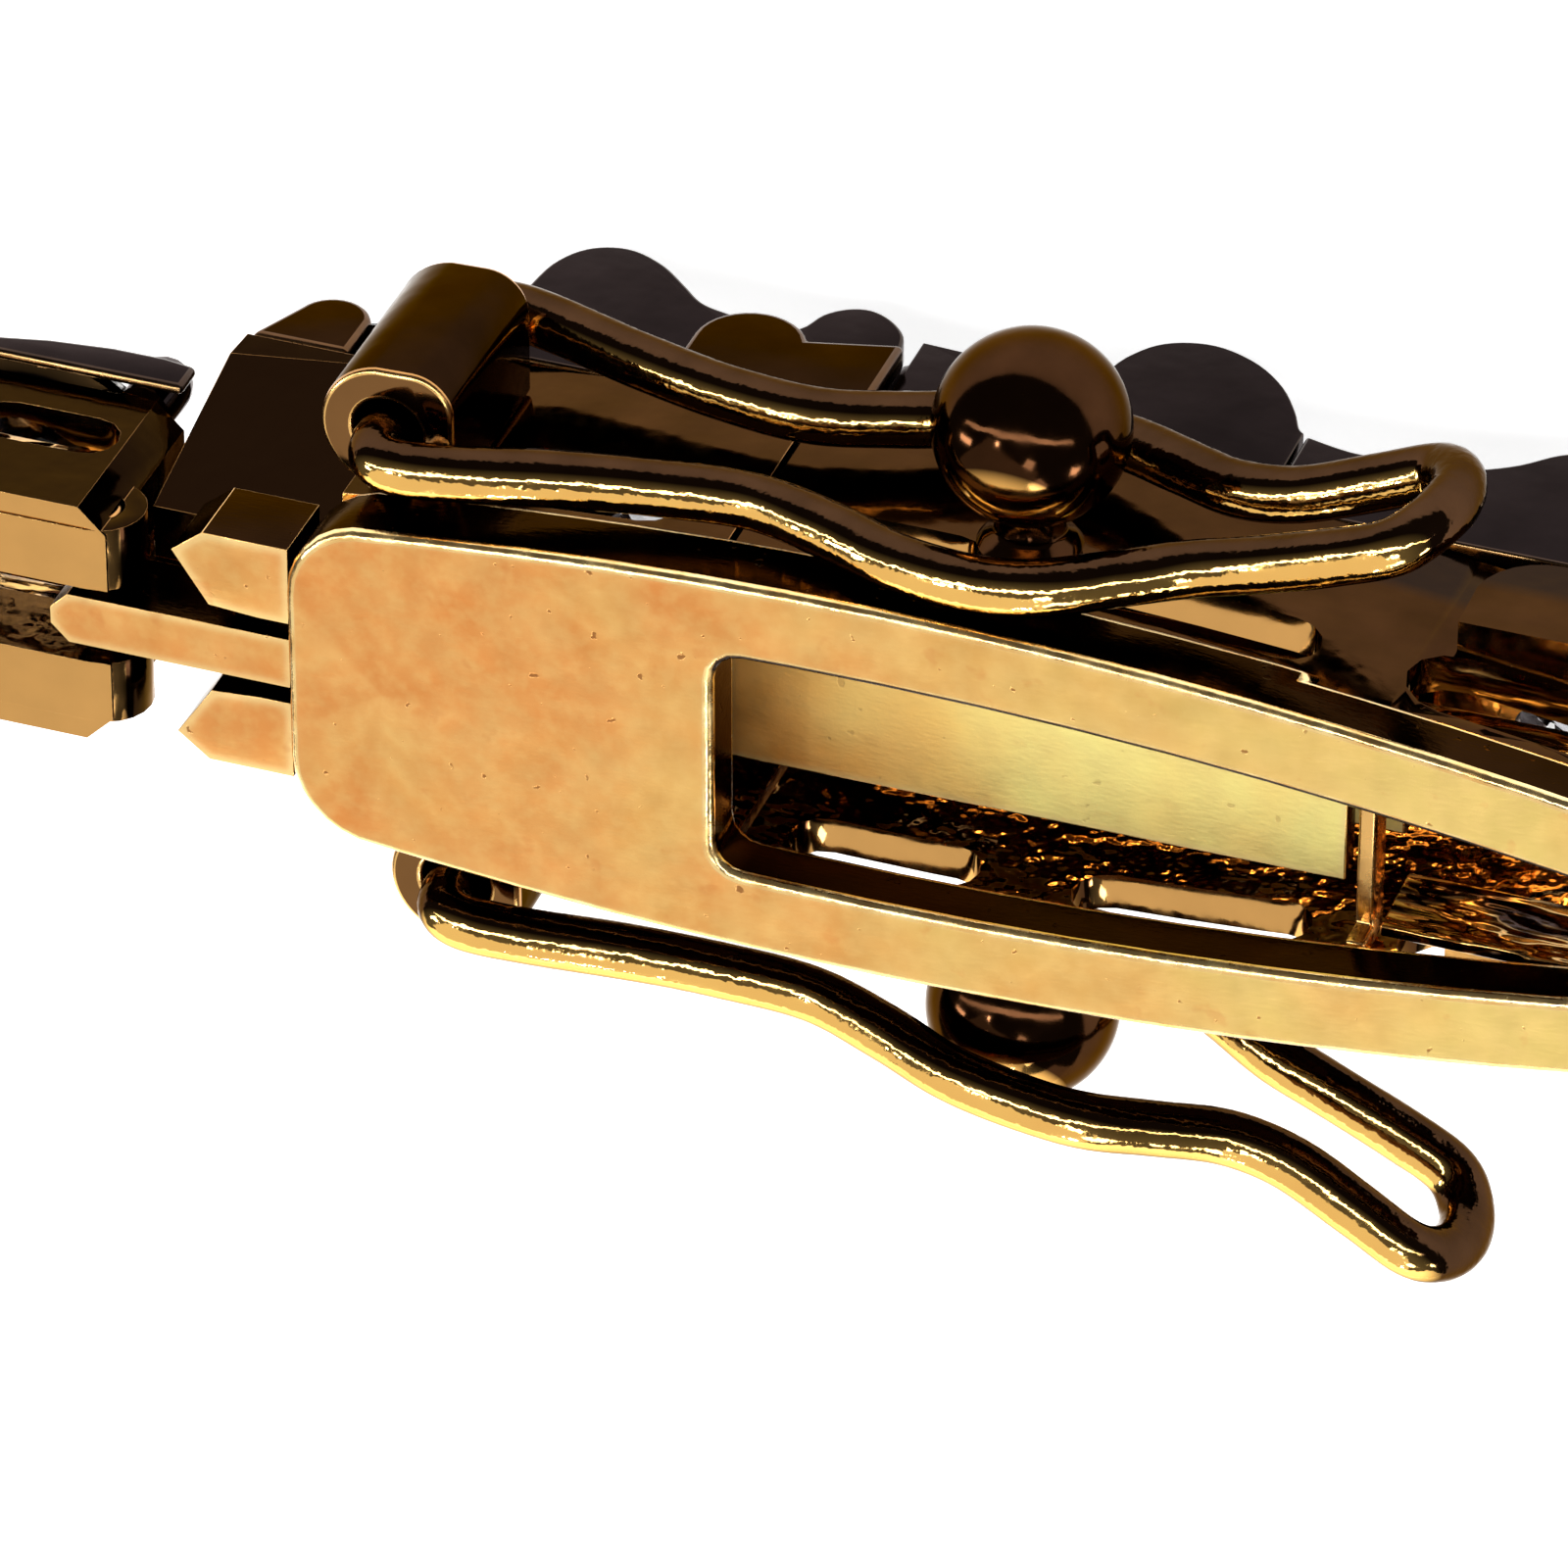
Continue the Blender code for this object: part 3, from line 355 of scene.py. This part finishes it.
def polished_gold(name, side, top, roughness=0.1, wave=0.012, ripple=0.0, edge=(1, 1, 1), deep=None,
                  lit=(0, 0, 1), lit_span=(0.68, 0.88)):
    """Polished plating with an uneven, buffed surface, painted bright on top as light and deep brown down its
    sides as shade.

    edge tints what it mirrors at a glance, and lit is the direction that the faces painted bright look in. A
    wall has deep, the colour of its sides near the stones at the tongue's end. It is also painted darker at
    the closed end as shade, and rough gold inside.
    """
    look = Shader(name)
    tone = look.span(look.noise(0.7, 5), 0.3, 0.72)
    shade = look.mix(tone, side, tuple(1.6 * c for c in side))
    if deep:
        # Painted shade: the wall is darker towards the closed end.
        shade = look.mix(look.along(-0.9, 0.3), tuple(0.25 * c for c in side), shade)
        shade = look.mix(look.deeper(2.7, 2.9, 8.9, 9.7), shade, deep)
        shade = look.mix(look.inward(), shade, INSIDE_GOLD)
    # Painted light and shade: faces that look towards lit take the bright colour, the others the dark side
    # colour.
    bright = look.mix(tone, top, tuple(min(1.0, 1.12 * c) for c in top))
    look.feed("Base Color", look.mix(look.toward(lit, *lit_span), shade, bright))
    look.feed("Roughness", look.span(look.noise(0.25, 5), 0.35, 0.7, roughness * 0.6, roughness * 1.5))
    fine = look.bump(look.noise(0.03, 3), 0.0006, 0.4)
    fine = look.bump(look.noise(0.16, 2), ripple, 1.0, fine)
    waves = look.bump(look.noise(0.55, 2), wave, 1.0, fine)
    if deep:
        waves = look.bump(look.math("MULTIPLY", look.noise(0.42, 2), look.inward()), 0.15, 1.0, waves)
    look.feed("Normal", waves)
    look.set(Metallic=1.0, Specular_Tint=(*edge, 1))
    return look.material


def plate_edge_gold(name):
    """The plate's rounded edge: pale gold, with a painted shadow line in dark brown where it turns into the
    window under the upper rail.
    """
    look = Shader(name)
    tone = look.span(look.noise(0.4, 4), 0.3, 0.7)
    upper_rail = look.span(look.axis("Y"), 0.0, 0.1 * MM)
    # Painted shadow: a dark line on the edge faces that look into the window under the upper rail.
    shadow_line = look.math("MULTIPLY", upper_rail, look.toward((0, -1, 0), 0.12, 0.3))
    pale = look.mix(tone, BRIGHT_GOLD, WORN_GOLD)
    look.feed("Base Color", look.mix(shadow_line, pale, SHADOW_LINE_BROWN))
    look.feed("Roughness", look.span(look.noise(0.25, 5), 0.35, 0.7, 0.14, 0.34))
    look.feed("Normal", look.bump(look.noise(0.12, 3), 0.006, 1.0))
    look.set(Metallic=1.0)
    return look.material


def chased_gold(name):
    """Bright gold worked into long, uneven ridges, with painted shade in dark brown down the grooves."""
    look = Shader(name)
    ridges = look.noise(0.22, 1, (3, 1, 1))
    raised = look.span(ridges, 0.42, 0.52)
    # Painted shade: the grooves between the ridges are dark brown.
    look.feed("Base Color", look.mix(raised, GROOVE_SHADE_BROWN, RIDGE_GOLD))
    look.feed("Roughness", look.span(look.noise(0.3, 4), 0.35, 0.7, 0.06, 0.16))
    look.feed("Normal", look.bump(ridges, 0.16, 1.0))
    look.set(Metallic=1.0)
    return look.material


def clear_stone():
    """A bright faceted stone with a faint grey cast and tiny scratches."""
    look = Shader("clear_stone")
    tone = look.span(look.noise(0.8, 3), 0.3, 0.7)
    look.feed("Base Color", look.mix(tone, (0.80, 0.80, 0.84), (0.93, 0.93, 0.95)))
    look.feed("Roughness", look.span(look.noise(0.2, 4), 0.4, 0.7, 0.0, 0.05))
    look.set(IOR=2.1, Transmission_Weight=1.0)
    return look.material


# Mesh helpers

def place_mesh(name, shape, materials, body, replaced, sharp=35):
    """Turn a shape in millimetres into a piece that rides on a body and stands for CAD nodes."""
    bmesh.ops.scale(shape, vec=(MM, MM, MM), verts=shape.verts)
    bmesh.ops.recalc_face_normals(shape, faces=shape.faces)
    mesh = bpy.data.meshes.new(name)
    shape.to_mesh(mesh)
    shape.free()
    mesh.shade_smooth()
    mesh.set_sharp_from_angle(angle=radians(sharp))
    for material in materials:
        mesh.materials.append(material)
    piece = bpy.data.objects.new(name, mesh)
    bpy.context.scene.collection.objects.link(piece)
    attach(piece, body)
    if replaced:
        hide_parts(*replaced)
    return piece


def arc(centre, radius, start, end, steps):
    angles = [radians(start + (end - start) * i / steps) for i in range(steps + 1)]
    return [(centre[0] + radius * cos(a), centre[1] + radius * sin(a)) for a in angles]


def smooth(points, steps, closed=False):
    """A curve through the points, from the first to the last or round a closed loop."""
    spots = [Vector(p) for p in points]
    ends = [spots[-1], *spots, *spots[:2]] if closed else [spots[0], *spots, spots[-1]]
    route = []
    for a, b, c, d in zip(ends, ends[1:], ends[2:], ends[3:]):
        for step in range(steps):
            t = step / steps
            bend = (2 * a - 5 * b + 4 * c - d) * t ** 2 + (3 * b - a - 3 * c + d) * t ** 3
            route.append((2 * b + (c - a) * t + bend) / 2)
    return route if closed else route + [spots[-1]]


def add_swept(shape, points, radii, closed, sides=20):
    """Sweep a circle along points, turning as little as possible from one to the next."""
    count = len(points)
    spots = [Vector(p) for p in points]
    ahead = []
    for i in range(count):
        before = spots[i - 1] if closed or i > 0 else spots[i]
        after = spots[(i + 1) % count] if closed or i < count - 1 else spots[i]
        ahead.append((after - before).normalized())
    side = ahead[0].orthogonal().normalized()
    rings = []
    for spot, way, radius in zip(spots, ahead, radii):
        side = (side - way * side.dot(way)).normalized()
        other = way.cross(side)
        angles = [2 * pi * k / sides for k in range(sides)]
        rings.append([shape.verts.new(spot + (side * cos(a) + other * sin(a)) * radius) for a in angles])
    if closed:
        turn = min(range(sides), key=lambda k: (rings[0][k].co - rings[-1][0].co).length)
        first = [rings[0][(k + turn) % sides] for k in range(sides)]
        pairs = list(zip(rings, rings[1:])) + [(rings[-1], first)]
    else:
        pairs = list(zip(rings, rings[1:]))
        shape.faces.new(rings[0])
        shape.faces.new(rings[-1])
    for a, b in pairs:
        for k in range(sides):
            n = (k + 1) % sides
            shape.faces.new((a[k], a[n], b[n], b[k]))


def add_turned(shape, profile, place, steps=64):
    """Turn a profile of (radius, height) pairs round the Z axis, then put it in place."""
    made = []
    closed = profile[0][0] > 0
    rings = []
    for radius, height in profile:
        if radius == 0:
            rings.append([shape.verts.new((0, 0, height))])
        else:
            angles = [2 * pi * k / steps for k in range(steps)]
            rings.append([shape.verts.new((radius * cos(a), radius * sin(a), height)) for a in angles])
        made += rings[-1]
    pairs = list(zip(rings, rings[1:]))
    if closed:
        pairs.append((rings[-1], rings[0]))
    for a, b in pairs:
        for k in range(steps):
            n = (k + 1) % steps
            corners = [a[k % len(a)], a[n % len(a)], b[n % len(b)], b[k % len(b)]]
            corners = list(dict.fromkeys(corners))
            if len(corners) > 2:
                shape.faces.new(corners)
    bmesh.ops.transform(shape, matrix=place, verts=made)


def add_prism(shape, outline, low, high, to_place, bevel):
    """Extrude a closed outline between two levels and round its edges, which take the second material.

    to_place maps (u, v, level) to a point.
    """
    piece = bmesh.new()
    bottom = [piece.verts.new(to_place(u, v, low)) for u, v in outline]
    top = [piece.verts.new(to_place(u, v, high)) for u, v in outline]
    count = len(outline)
    piece.faces.new(list(reversed(bottom)))
    piece.faces.new(top)
    for k in range(count):
        n = (k + 1) % count
        piece.faces.new((bottom[k], bottom[n], top[n], top[k]))
    bmesh.ops.recalc_face_normals(piece, faces=piece.faces)
    sharp = [e for e in piece.edges if e.calc_face_angle(0) > radians(30)]
    bmesh.ops.bevel(piece, geom=sharp, offset=bevel, segments=EDGE_STEPS, profile=0.5, affect="EDGES",
                    clamp_overlap=True, material=1)
    mesh = bpy.data.meshes.new("prism")
    piece.to_mesh(mesh)
    piece.free()
    shape.from_mesh(mesh)
    bpy.data.meshes.remove(mesh)


def side_of(hinge):
    return 1 if hinge[1] > 0 else -1


def add_catch(name, hinge, opened, body, material):
    side = side_of(hinge)
    far = [(x, -h - FAR_LIFT * max(0, 1 - x / FAR_LIFT_LENGTH), out) for x, h, out in CATCH_ROUTE[1:-1]]
    loop = CATCH_ROUTE + far[::-1]
    points = [(x, side * out, h) for x, h, out in loop]
    turn = Matrix.Translation((*hinge, -CATCH_DEPTH)) @ Matrix.Rotation(side * radians(opened), 4, "Z")
    route = [turn @ p for p in smooth(points, WIRE_STEPS, closed=True)]
    shape = bmesh.new()
    radii = [WIRE_RADIUS * (1 + 0.012 * sin(i * 0.37) * sin(i * 0.11)) for i in range(len(route))]
    add_swept(shape, route, radii, closed=True)
    place_mesh(name + "_wire", shape, [material], body, [name], sharp=180)


def add_ball(name, side, material):
    """A ball on a stem, with a collar where the stem meets the wall."""
    low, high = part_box(name)
    wall = min(abs(low.y), abs(high.y)) / MM
    profile = [(0, wall)] + [(STEM_RADIUS + wider, wall + height) for wider, height in COLLAR]
    start = asin(STEM_RADIUS / BALL_RADIUS) - pi / 2
    for step in range(BALL_STEPS):
        angle = start + (pi / 2 - start) * step / BALL_STEPS
        profile.append((BALL_RADIUS * cos(angle), BALL_Y + BALL_RADIUS * sin(angle)))
    profile.append((0, BALL_Y + BALL_RADIUS))
    shape = bmesh.new()
    place = Matrix.Translation((BALL_X, 0, -CATCH_DEPTH)) @ Matrix.Rotation(-side * pi / 2, 4, "X")
    add_turned(shape, profile, place)
    place_mesh(name + "_polished", shape, [material], "tongue_half", [name], sharp=50)


def wall_y(x):
    return PLATE_HALF_WIDTH - (x - PLATE_WIDEST_X) ** 2 / (2 * PLATE_SIDE_RADIUS) - WALL_INSET


def add_knuckle(name, hinge, materials):
    """A strap rolled round the wire, with its foot on the wall."""
    low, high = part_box(name)
    x, y = hinge[0], abs(hinge[1])
    side = side_of(hinge)
    right = high.x / MM
    outer = y + KNUCKLE_RADIUS
    foot = wall_y(x + 0.5)
    outline = [(right, foot)] + arc((right - KNUCKLE_TIGHT, outer - KNUCKLE_TIGHT), KNUCKLE_TIGHT, 0, 90, 10)
    outline += arc((x, y), KNUCKLE_RADIUS, 100, 255, 24)
    outline += arc((x, y), KNUCKLE_BORE_RADIUS, 255, -75, 32) + [(x + 0.28, foot)]
    shape = bmesh.new()
    add_prism(shape, outline, low.z / MM, high.z / MM, lambda u, v, w: (u, side * v, w), KNUCKLE_BEVEL)
    place_mesh(name + "_strap", shape, materials, "box_half", [name])


def pavilion_radius(depth, girdle):
    return STONE_RADIUS * (1 - (girdle - depth) / PAVILION_DEPTH)


def add_plates(shape, outline, inner_y, outer_y, bevel=PLATE_BEVEL):
    """A flat lobe on each side of the bracelet."""
    for side in (1, -1):
        add_prism(shape, outline, inner_y, outer_y, lambda u, v, w: (u, side * w, -v), bevel)


def add_rim(shape, rim, web_x, base):
    """A scalloped rim on each side, tied to the cup by a web."""
    outline = [(rim[0][0], base), *smooth(rim, RIM_STEPS), (rim[-1][0], base)]
    add_plates(shape, outline, RIM_INNER_Y, RIM_OUTER_Y, RIM_BEVEL)
    left, right = web_x - WEB_HALF_LENGTH, web_x + WEB_HALF_LENGTH
    web = [(left, base + 0.03), (left, WEB_TOP), (right, WEB_TOP), (right, base + 0.03)]
    add_plates(shape, web, WEB_INNER_Y, WEB_OUTER_Y)


def add_setting(name, body, materials, prongs, plates=(), rim=None, web_x=None, tip=1.0):
    """A cup with prongs at some angles, side plates and a rim; tip shortens the prongs over the girdle."""
    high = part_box(name)[1]
    x = stone_centre(name)
    base = -high.z / MM
    girdle = girdle_depth(name)
    lip = girdle - 0.15
    lip_inner = pavilion_radius(lip, girdle) + 0.06
    throat = max(0.9, pavilion_radius(base, girdle) + 0.08)
    waist_depth = base + (lip - base) * 0.5
    waist = max(throat, pavilion_radius(waist_depth, girdle) + 0.06)
    profile = [(lip_inner + 0.16, -lip), (lip_inner + 0.1, -lip - 0.03), (lip_inner, -lip),
               (waist, -waist_depth), (throat, -base), (throat + 0.3, -base), (throat + 0.34, -base - 0.05),
               (waist + 0.34, -waist_depth), (lip_inner + 0.21, -lip + 0.05)]
    shape = bmesh.new()
    add_turned(shape, profile, Matrix.Translation((x, 0, 0)))
    reach = STONE_RADIUS + 0.04 + PRONG_RADIUS
    path = [(reach - 0.04, base, 1), (reach - 0.02, (base + girdle) / 2, 1)]
    path += [(reach - lean, girdle + height * tip, share) for lean, height, share in PRONG_TIP]
    radii = [PRONG_RADIUS * share for r, d, share in path]
    for degrees in prongs:
        angle = radians(degrees)
        points = [(x + r * cos(angle), r * sin(angle), -d) for r, d, share in path]
        add_swept(shape, points, radii, closed=False, sides=18)
    for outline, inner_y, outer_y in plates:
        add_plates(shape, outline, inner_y, outer_y)
    if rim:
        add_rim(shape, rim, web_x, base)
    place_mesh(name + "_cup", shape, materials, body, [name], sharp=40)


def add_backing(name, body, material, left, right, inner_y, outer_y, top, bottom):
    """A chased strip behind the openings on each side."""
    shape = bmesh.new()
    outline = [(left, top), (left, bottom), (right, bottom), (right, top)]
    add_plates(shape, outline, inner_y, outer_y, BACKING_BEVEL)
    place_mesh(name, shape, [material, material], body, [])


def stone_name(setting):
    return setting.replace("setting", "stone")


def stone_centre(setting):
    low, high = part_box(stone_name(setting))
    return (low.x + high.x) / 2 / MM


def girdle_depth(setting):
    return -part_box(stone_name(setting))[1].z / MM + PAVILION_DEPTH


def add_stone(name, body, material):
    """A round brilliant: table, star, bezel and girdle facets above, mains below."""
    low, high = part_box(name)
    x = (low.x + high.x) / 2 / MM
    girdle = -high.z / MM + PAVILION_DEPTH
    table = -low.z / MM
    shape = bmesh.new()

    def ring(radius, depth, count, turn):
        for k in range(count):
            angle = 2 * pi * (k + turn) / count
            shape.verts.new((x + radius * cos(angle), radius * sin(angle), -depth))

    full = STONE_RADIUS - STONE_EASE
    ring(TABLE_RADIUS, table, 8, 0.0)
    ring(STAR_RADIUS, table - STAR_DROP, 8, 0.5)
    ring(full, girdle + GIRDLE_HEIGHT - 2 * STONE_EASE, 16, 0.0)
    ring(full, girdle, 16, 0.0)
    ring(MAINS_RADIUS, girdle - MAINS_DEPTH, 8, 0.5)
    shape.verts.new((x, 0, -girdle + PAVILION_DEPTH - STONE_EASE))
    bmesh.ops.convex_hull(shape, input=shape.verts)
    bmesh.ops.dissolve_limit(shape, angle_limit=radians(1), verts=shape.verts, edges=shape.edges)
    place_mesh(name + "_cut", shape, [material], body, [name], sharp=1)


# CAD nodes that keep their shape get rounded edges and a finish with painted light and shade

def dress(node, face, edge, bevel, clamp=True):
    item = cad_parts[node]
    item.data.materials.clear()
    item.data.materials.append(face)
    item.data.materials.append(edge)
    item.data.shade_smooth()
    item.data.set_sharp_from_angle(angle=radians(20))
    weld = item.modifiers.new("Weld", "WELD")
    weld.merge_threshold = 0.0005 * MM
    flat = item.modifiers.new("Whole faces", "DECIMATE")
    flat.decimate_type = "DISSOLVE"
    flat.angle_limit = radians(0.5)
    rim = item.modifiers.new("Rounded edges", "BEVEL")
    rim.width = bevel * MM
    rim.segments = EDGE_STEPS
    rim.limit_method = "ANGLE"
    rim.angle_limit = radians(35)
    rim.use_clamp_overlap = clamp
    rim.material = 1
    even = item.modifiers.new("Even shading", "WEIGHTED_NORMAL")
    even.weight = 100
    even.keep_sharp = True


# Studio, with sizes in metres
FLOOR_GLOW = 0.87
FLOOR_SIZE = 1.2
FLOOR_GAP = 0.02 * MM
LAMP_DISTANCE = 0.12
WARM = (1.0, 0.94, 0.85)
WORLD_COLOUR = (1.0, 0.96, 0.92, 1)
WORLD_STRENGTH = 0.1


def floor_material():
    look = Shader("floor_white")
    grain = look.span(look.noise(3.0, 3), 0.3, 0.7)
    look.feed("Base Color", look.mix(grain, (0.89, 0.89, 0.89), (0.91, 0.91, 0.91)))
    look.set(Roughness=0.9, Specular_IOR_Level=0.1, Emission_Color=(1, 1, 1, 1))
    path = look.nodes.new("ShaderNodeLightPath").outputs
    seen = look.math("MAXIMUM", path["Is Camera Ray"], path["Is Glossy Ray"])
    seen = look.math("MAXIMUM", seen, path["Is Transmission Ray"])
    look.feed("Emission Strength", look.math("MULTIPLY", seen, FLOOR_GLOW))
    return look.material


def add_floor():
    level = cad_box[0].z - FLOOR_GAP
    bpy.ops.mesh.primitive_grid_add(x_subdivisions=4, y_subdivisions=4, size=FLOOR_SIZE,
                                    location=(0, 0, level))
    floor = bpy.context.object
    floor.name = "floor"
    floor.data.materials.append(floor_material())


def add_lamp(name, direction, width, height, radiance, tint=(1, 1, 1)):
    """A softbox that fills width by height degrees as seen from the clasp."""
    data = bpy.data.lights.new(name, "AREA")
    data.shape = "RECTANGLE"
    data.size = 2 * LAMP_DISTANCE * tan(radians(width / 2))
    data.size_y = 2 * LAMP_DISTANCE * tan(radians(height / 2))
    data.energy = radiance * pi * data.size * data.size_y
    data.color = tint
    lamp = bpy.data.objects.new(name, data)
    bpy.context.scene.collection.objects.link(lamp)
    away = Vector(direction).normalized()
    lamp.location = CAMERA_AIM + away * LAMP_DISTANCE
    lamp.rotation_mode = "QUATERNION"
    lamp.rotation_quaternion = away.to_track_quat("Z", "Y")


def add_world():
    world = bpy.data.worlds.new("studio")
    bpy.context.scene.world = world
    world.use_nodes = True
    background = world.node_tree.nodes["Background"].inputs
    background["Color"].default_value = WORLD_COLOUR
    background["Strength"].default_value = WORLD_STRENGTH


# Finishes, with painted light and shade
satin = satin_gold("satin_gold", PEACH_GOLD, YELLOW_GOLD, (1.5, 12.0), DARKEST_SHADE_BROWN, 0.8, 0.38)
leaf = satin_gold("spring_leaf_gold", LEAF_ORANGE, LEAF_YELLOW, (3.6, 6.6), SIDE_SHADE_BROWN, 0.25, 0.55)
# The polished finishes are painted: their dark side colours stand in for shade and dark reflections, and
# their bright colours on the faces that look towards lit stand in for light.
rim = polished_gold("rim_gold", (0.70, 0.40, 0.14), BRIGHT_GOLD, 0.24)
dark = polished_gold("wall_gold", SIDE_SHADE_BROWN, (0.66, 0.37, 0.12), edge=BROWN_EDGE, deep=GREY_BROWN)
dark_rim = polished_gold("wall_rim_gold", (0.36, 0.18, 0.06), BRIGHT_GOLD, 0.2)
cup = polished_gold("cup_gold", CUP_GREY, (0.50, 0.29, 0.11), edge=GREY_EDGE)
cup_rim = polished_gold("cup_rim_gold", (0.035, 0.022, 0.016), (0.4, 0.24, 0.10), 0.2)
wire = polished_gold("wire_gold", (0.034, 0.016, 0.0075), (0.95, 0.56, 0.16), 0.09, ripple=0.01,
                     edge=DARK_EDGE)
gem = clear_stone()
# The ball's bright faces look down towards the plate: its gold crescent is a painted reflection of the plate
# and wires.
ball = polished_gold("ball_gold", SIDE_SHADE_BROWN, (0.80, 0.44, 0.12), edge=DARK_EDGE,
                     lit=(0, -0.6, 0.8), lit_span=(0.74, 0.84))
strap = polished_gold("strap_gold", DARKEST_SHADE_BROWN, (0.22, 0.11, 0.04), edge=DARK_EDGE)
fin_rim = polished_gold("fin_rim_gold", (0.07, 0.035, 0.016), (0.4, 0.22, 0.08), 0.2)
basket = chased_gold("chased_gold")
plate_rim = plate_edge_gold("plate_edge_gold")
cup_pair = (cup, cup_rim)

# CAD nodes that show their own shape
dress("base_plate", satin, plate_rim, 0.1, clamp=False)
dress("link_tab", satin, rim, 0.08)
for node in ("box_gallery", "tongue_gallery", "tail_tab", "link_pin"):
    dress(node, dark, dark_rim, 0.05)
dress("catch_lip", rim, rim, 0.04)
dress("left_link_body", dark, dark_rim, 0.09)
for node in ("tongue_strip", "spring_leaf"):
    dress(node, leaf, rim, 0.04)

# Catches and what holds them
add_catch("safety_catch_upper", UPPER_HINGE, 0, "catch_upper", wire)
add_catch("safety_catch_lower", LOWER_HINGE, LOWER_CATCH_OPEN, "catch_lower", wire)
add_ball("ball_stud_upper", 1, ball)
add_ball("ball_stud_lower", -1, ball)
add_knuckle("knuckle_upper", UPPER_HINGE, (strap, dark_rim))
add_knuckle("knuckle_lower", LOWER_HINGE, (strap, dark_rim))

# Settings and stones
ALL_PRONGS = (45, 135, 225, 315)
deck = -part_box("box_setting_2")[1].z / MM
end_fin = [(END_FIN_LEFT, deck)]
end_fin += arc((END_FIN_X, END_FIN_TOP - END_FIN_RADIUS), END_FIN_RADIUS, 165, 15, 12)
end_fin += [(END_FIN_RIGHT, deck)]
split_fin = [(SPLIT_FIN_LEFT, deck + 0.02)]
split_fin += arc((SPLIT_FIN_X, SPLIT_FIN_TOP - SPLIT_FIN_RADIUS), SPLIT_FIN_RADIUS, 180, 25, 14)
split_fin += [(SPLIT_FIN_NOTCH_X, SPLIT_FIN_TOP - SPLIT_FIN_NOTCH), (SPLIT_FIN_RIGHT, SPLIT_FIN_TOP - 0.1),
              (SPLIT_FIN_RIGHT, deck + 0.02)]
link_deck = -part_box("left_link_setting")[1].z / MM
link_side = [(LINK_SIDE_LEFT, link_deck), (LINK_SIDE_LEFT, LINK_SIDE_TOP - 0.36),
             (-5.4, LINK_SIDE_TOP - 0.22), (-4.8, LINK_SIDE_TOP - 0.08), (-4.1, LINK_SIDE_TOP),
             (-3.5, LINK_SIDE_TOP), (LINK_SIDE_RIGHT, LINK_SIDE_TOP - 0.06), (LINK_SIDE_RIGHT, link_deck)]
add_setting("box_setting_1", "box_half", (strap, fin_rim), (45, 315), [(end_fin, END_FIN_INNER_Y, END_FIN_Y)])
add_setting("box_setting_2", "box_half", cup_pair, ALL_PRONGS, rim=BOX_RIM, web_x=BOX_WEB_X)
add_setting("tongue_setting_1", "tongue_half", cup_pair, ALL_PRONGS, rim=FIRST_TONGUE_RIM,
            web_x=FIRST_TONGUE_WEB_X)
add_setting("tongue_setting_2", "tongue_half", cup_pair, ALL_PRONGS, rim=SECOND_TONGUE_RIM,
            web_x=SECOND_TONGUE_WEB_X)
add_setting("tongue_setting_3", "tongue_half", cup_pair, ALL_PRONGS)
link_sides = [(link_side, LINK_SIDE_INNER_Y, LINK_SIDE_Y)]
add_setting("left_link_setting", "left_link", cup_pair, ALL_PRONGS, link_sides, tip=LINK_PRONG_TIP)
fins = bmesh.new()
add_plates(fins, split_fin, SPLIT_FIN_INNER_Y, SPLIT_FIN_Y)
place_mesh("box_setting_2_fins", fins, (strap, fin_rim), "box_half", ["box_setting_2"])
add_backing("link_backing", "left_link", basket, **LINK_BACKING)
add_backing("skirt_backing", "tongue_half", basket, **SKIRT_BACKING)
for number in (1, 2, 3):
    add_stone(f"tongue_stone_{number}", "tongue_half", gem)
add_stone("left_link_stone", "left_link", gem)
for number in (1, 2):
    add_stone(f"box_stone_{number}", "box_half", gem)

# Camera, floor and light: each lamp has a direction, a width and height in degrees, and a radiance
add_camera()
add_floor()
add_world()
add_lamp("plate_softbox", (-0.28, -0.50, 0.82), 70, 62, 0.77, WARM)
add_lamp("low_softbox", (-0.1, -0.95, 0.22), 90, 32, 1.8, WARM)
add_lamp("streak", (0.0, 0.35, 0.93), 130, 7, 9.0)
add_lamp("right_hot", (0.38, -0.60, 0.70), 14, 12, 6.0)
add_lamp("overhead", (0.30, -0.15, 0.94), 12, 10, 9.0)
add_lamp("glint_left", (-0.85, -0.05, 0.52), 6, 14, 30.0)
add_lamp("glint_right", (0.86, -0.40, 0.32), 7, 10, 30.0)
add_lamp("spark_back", (-0.35, 0.15, 0.92), 3, 3, 90.0)
add_lamp("spark_front", (0.05, -0.80, 0.60), 3, 3, 90.0)
bpy.context.scene.view_settings.view_transform = "Standard"
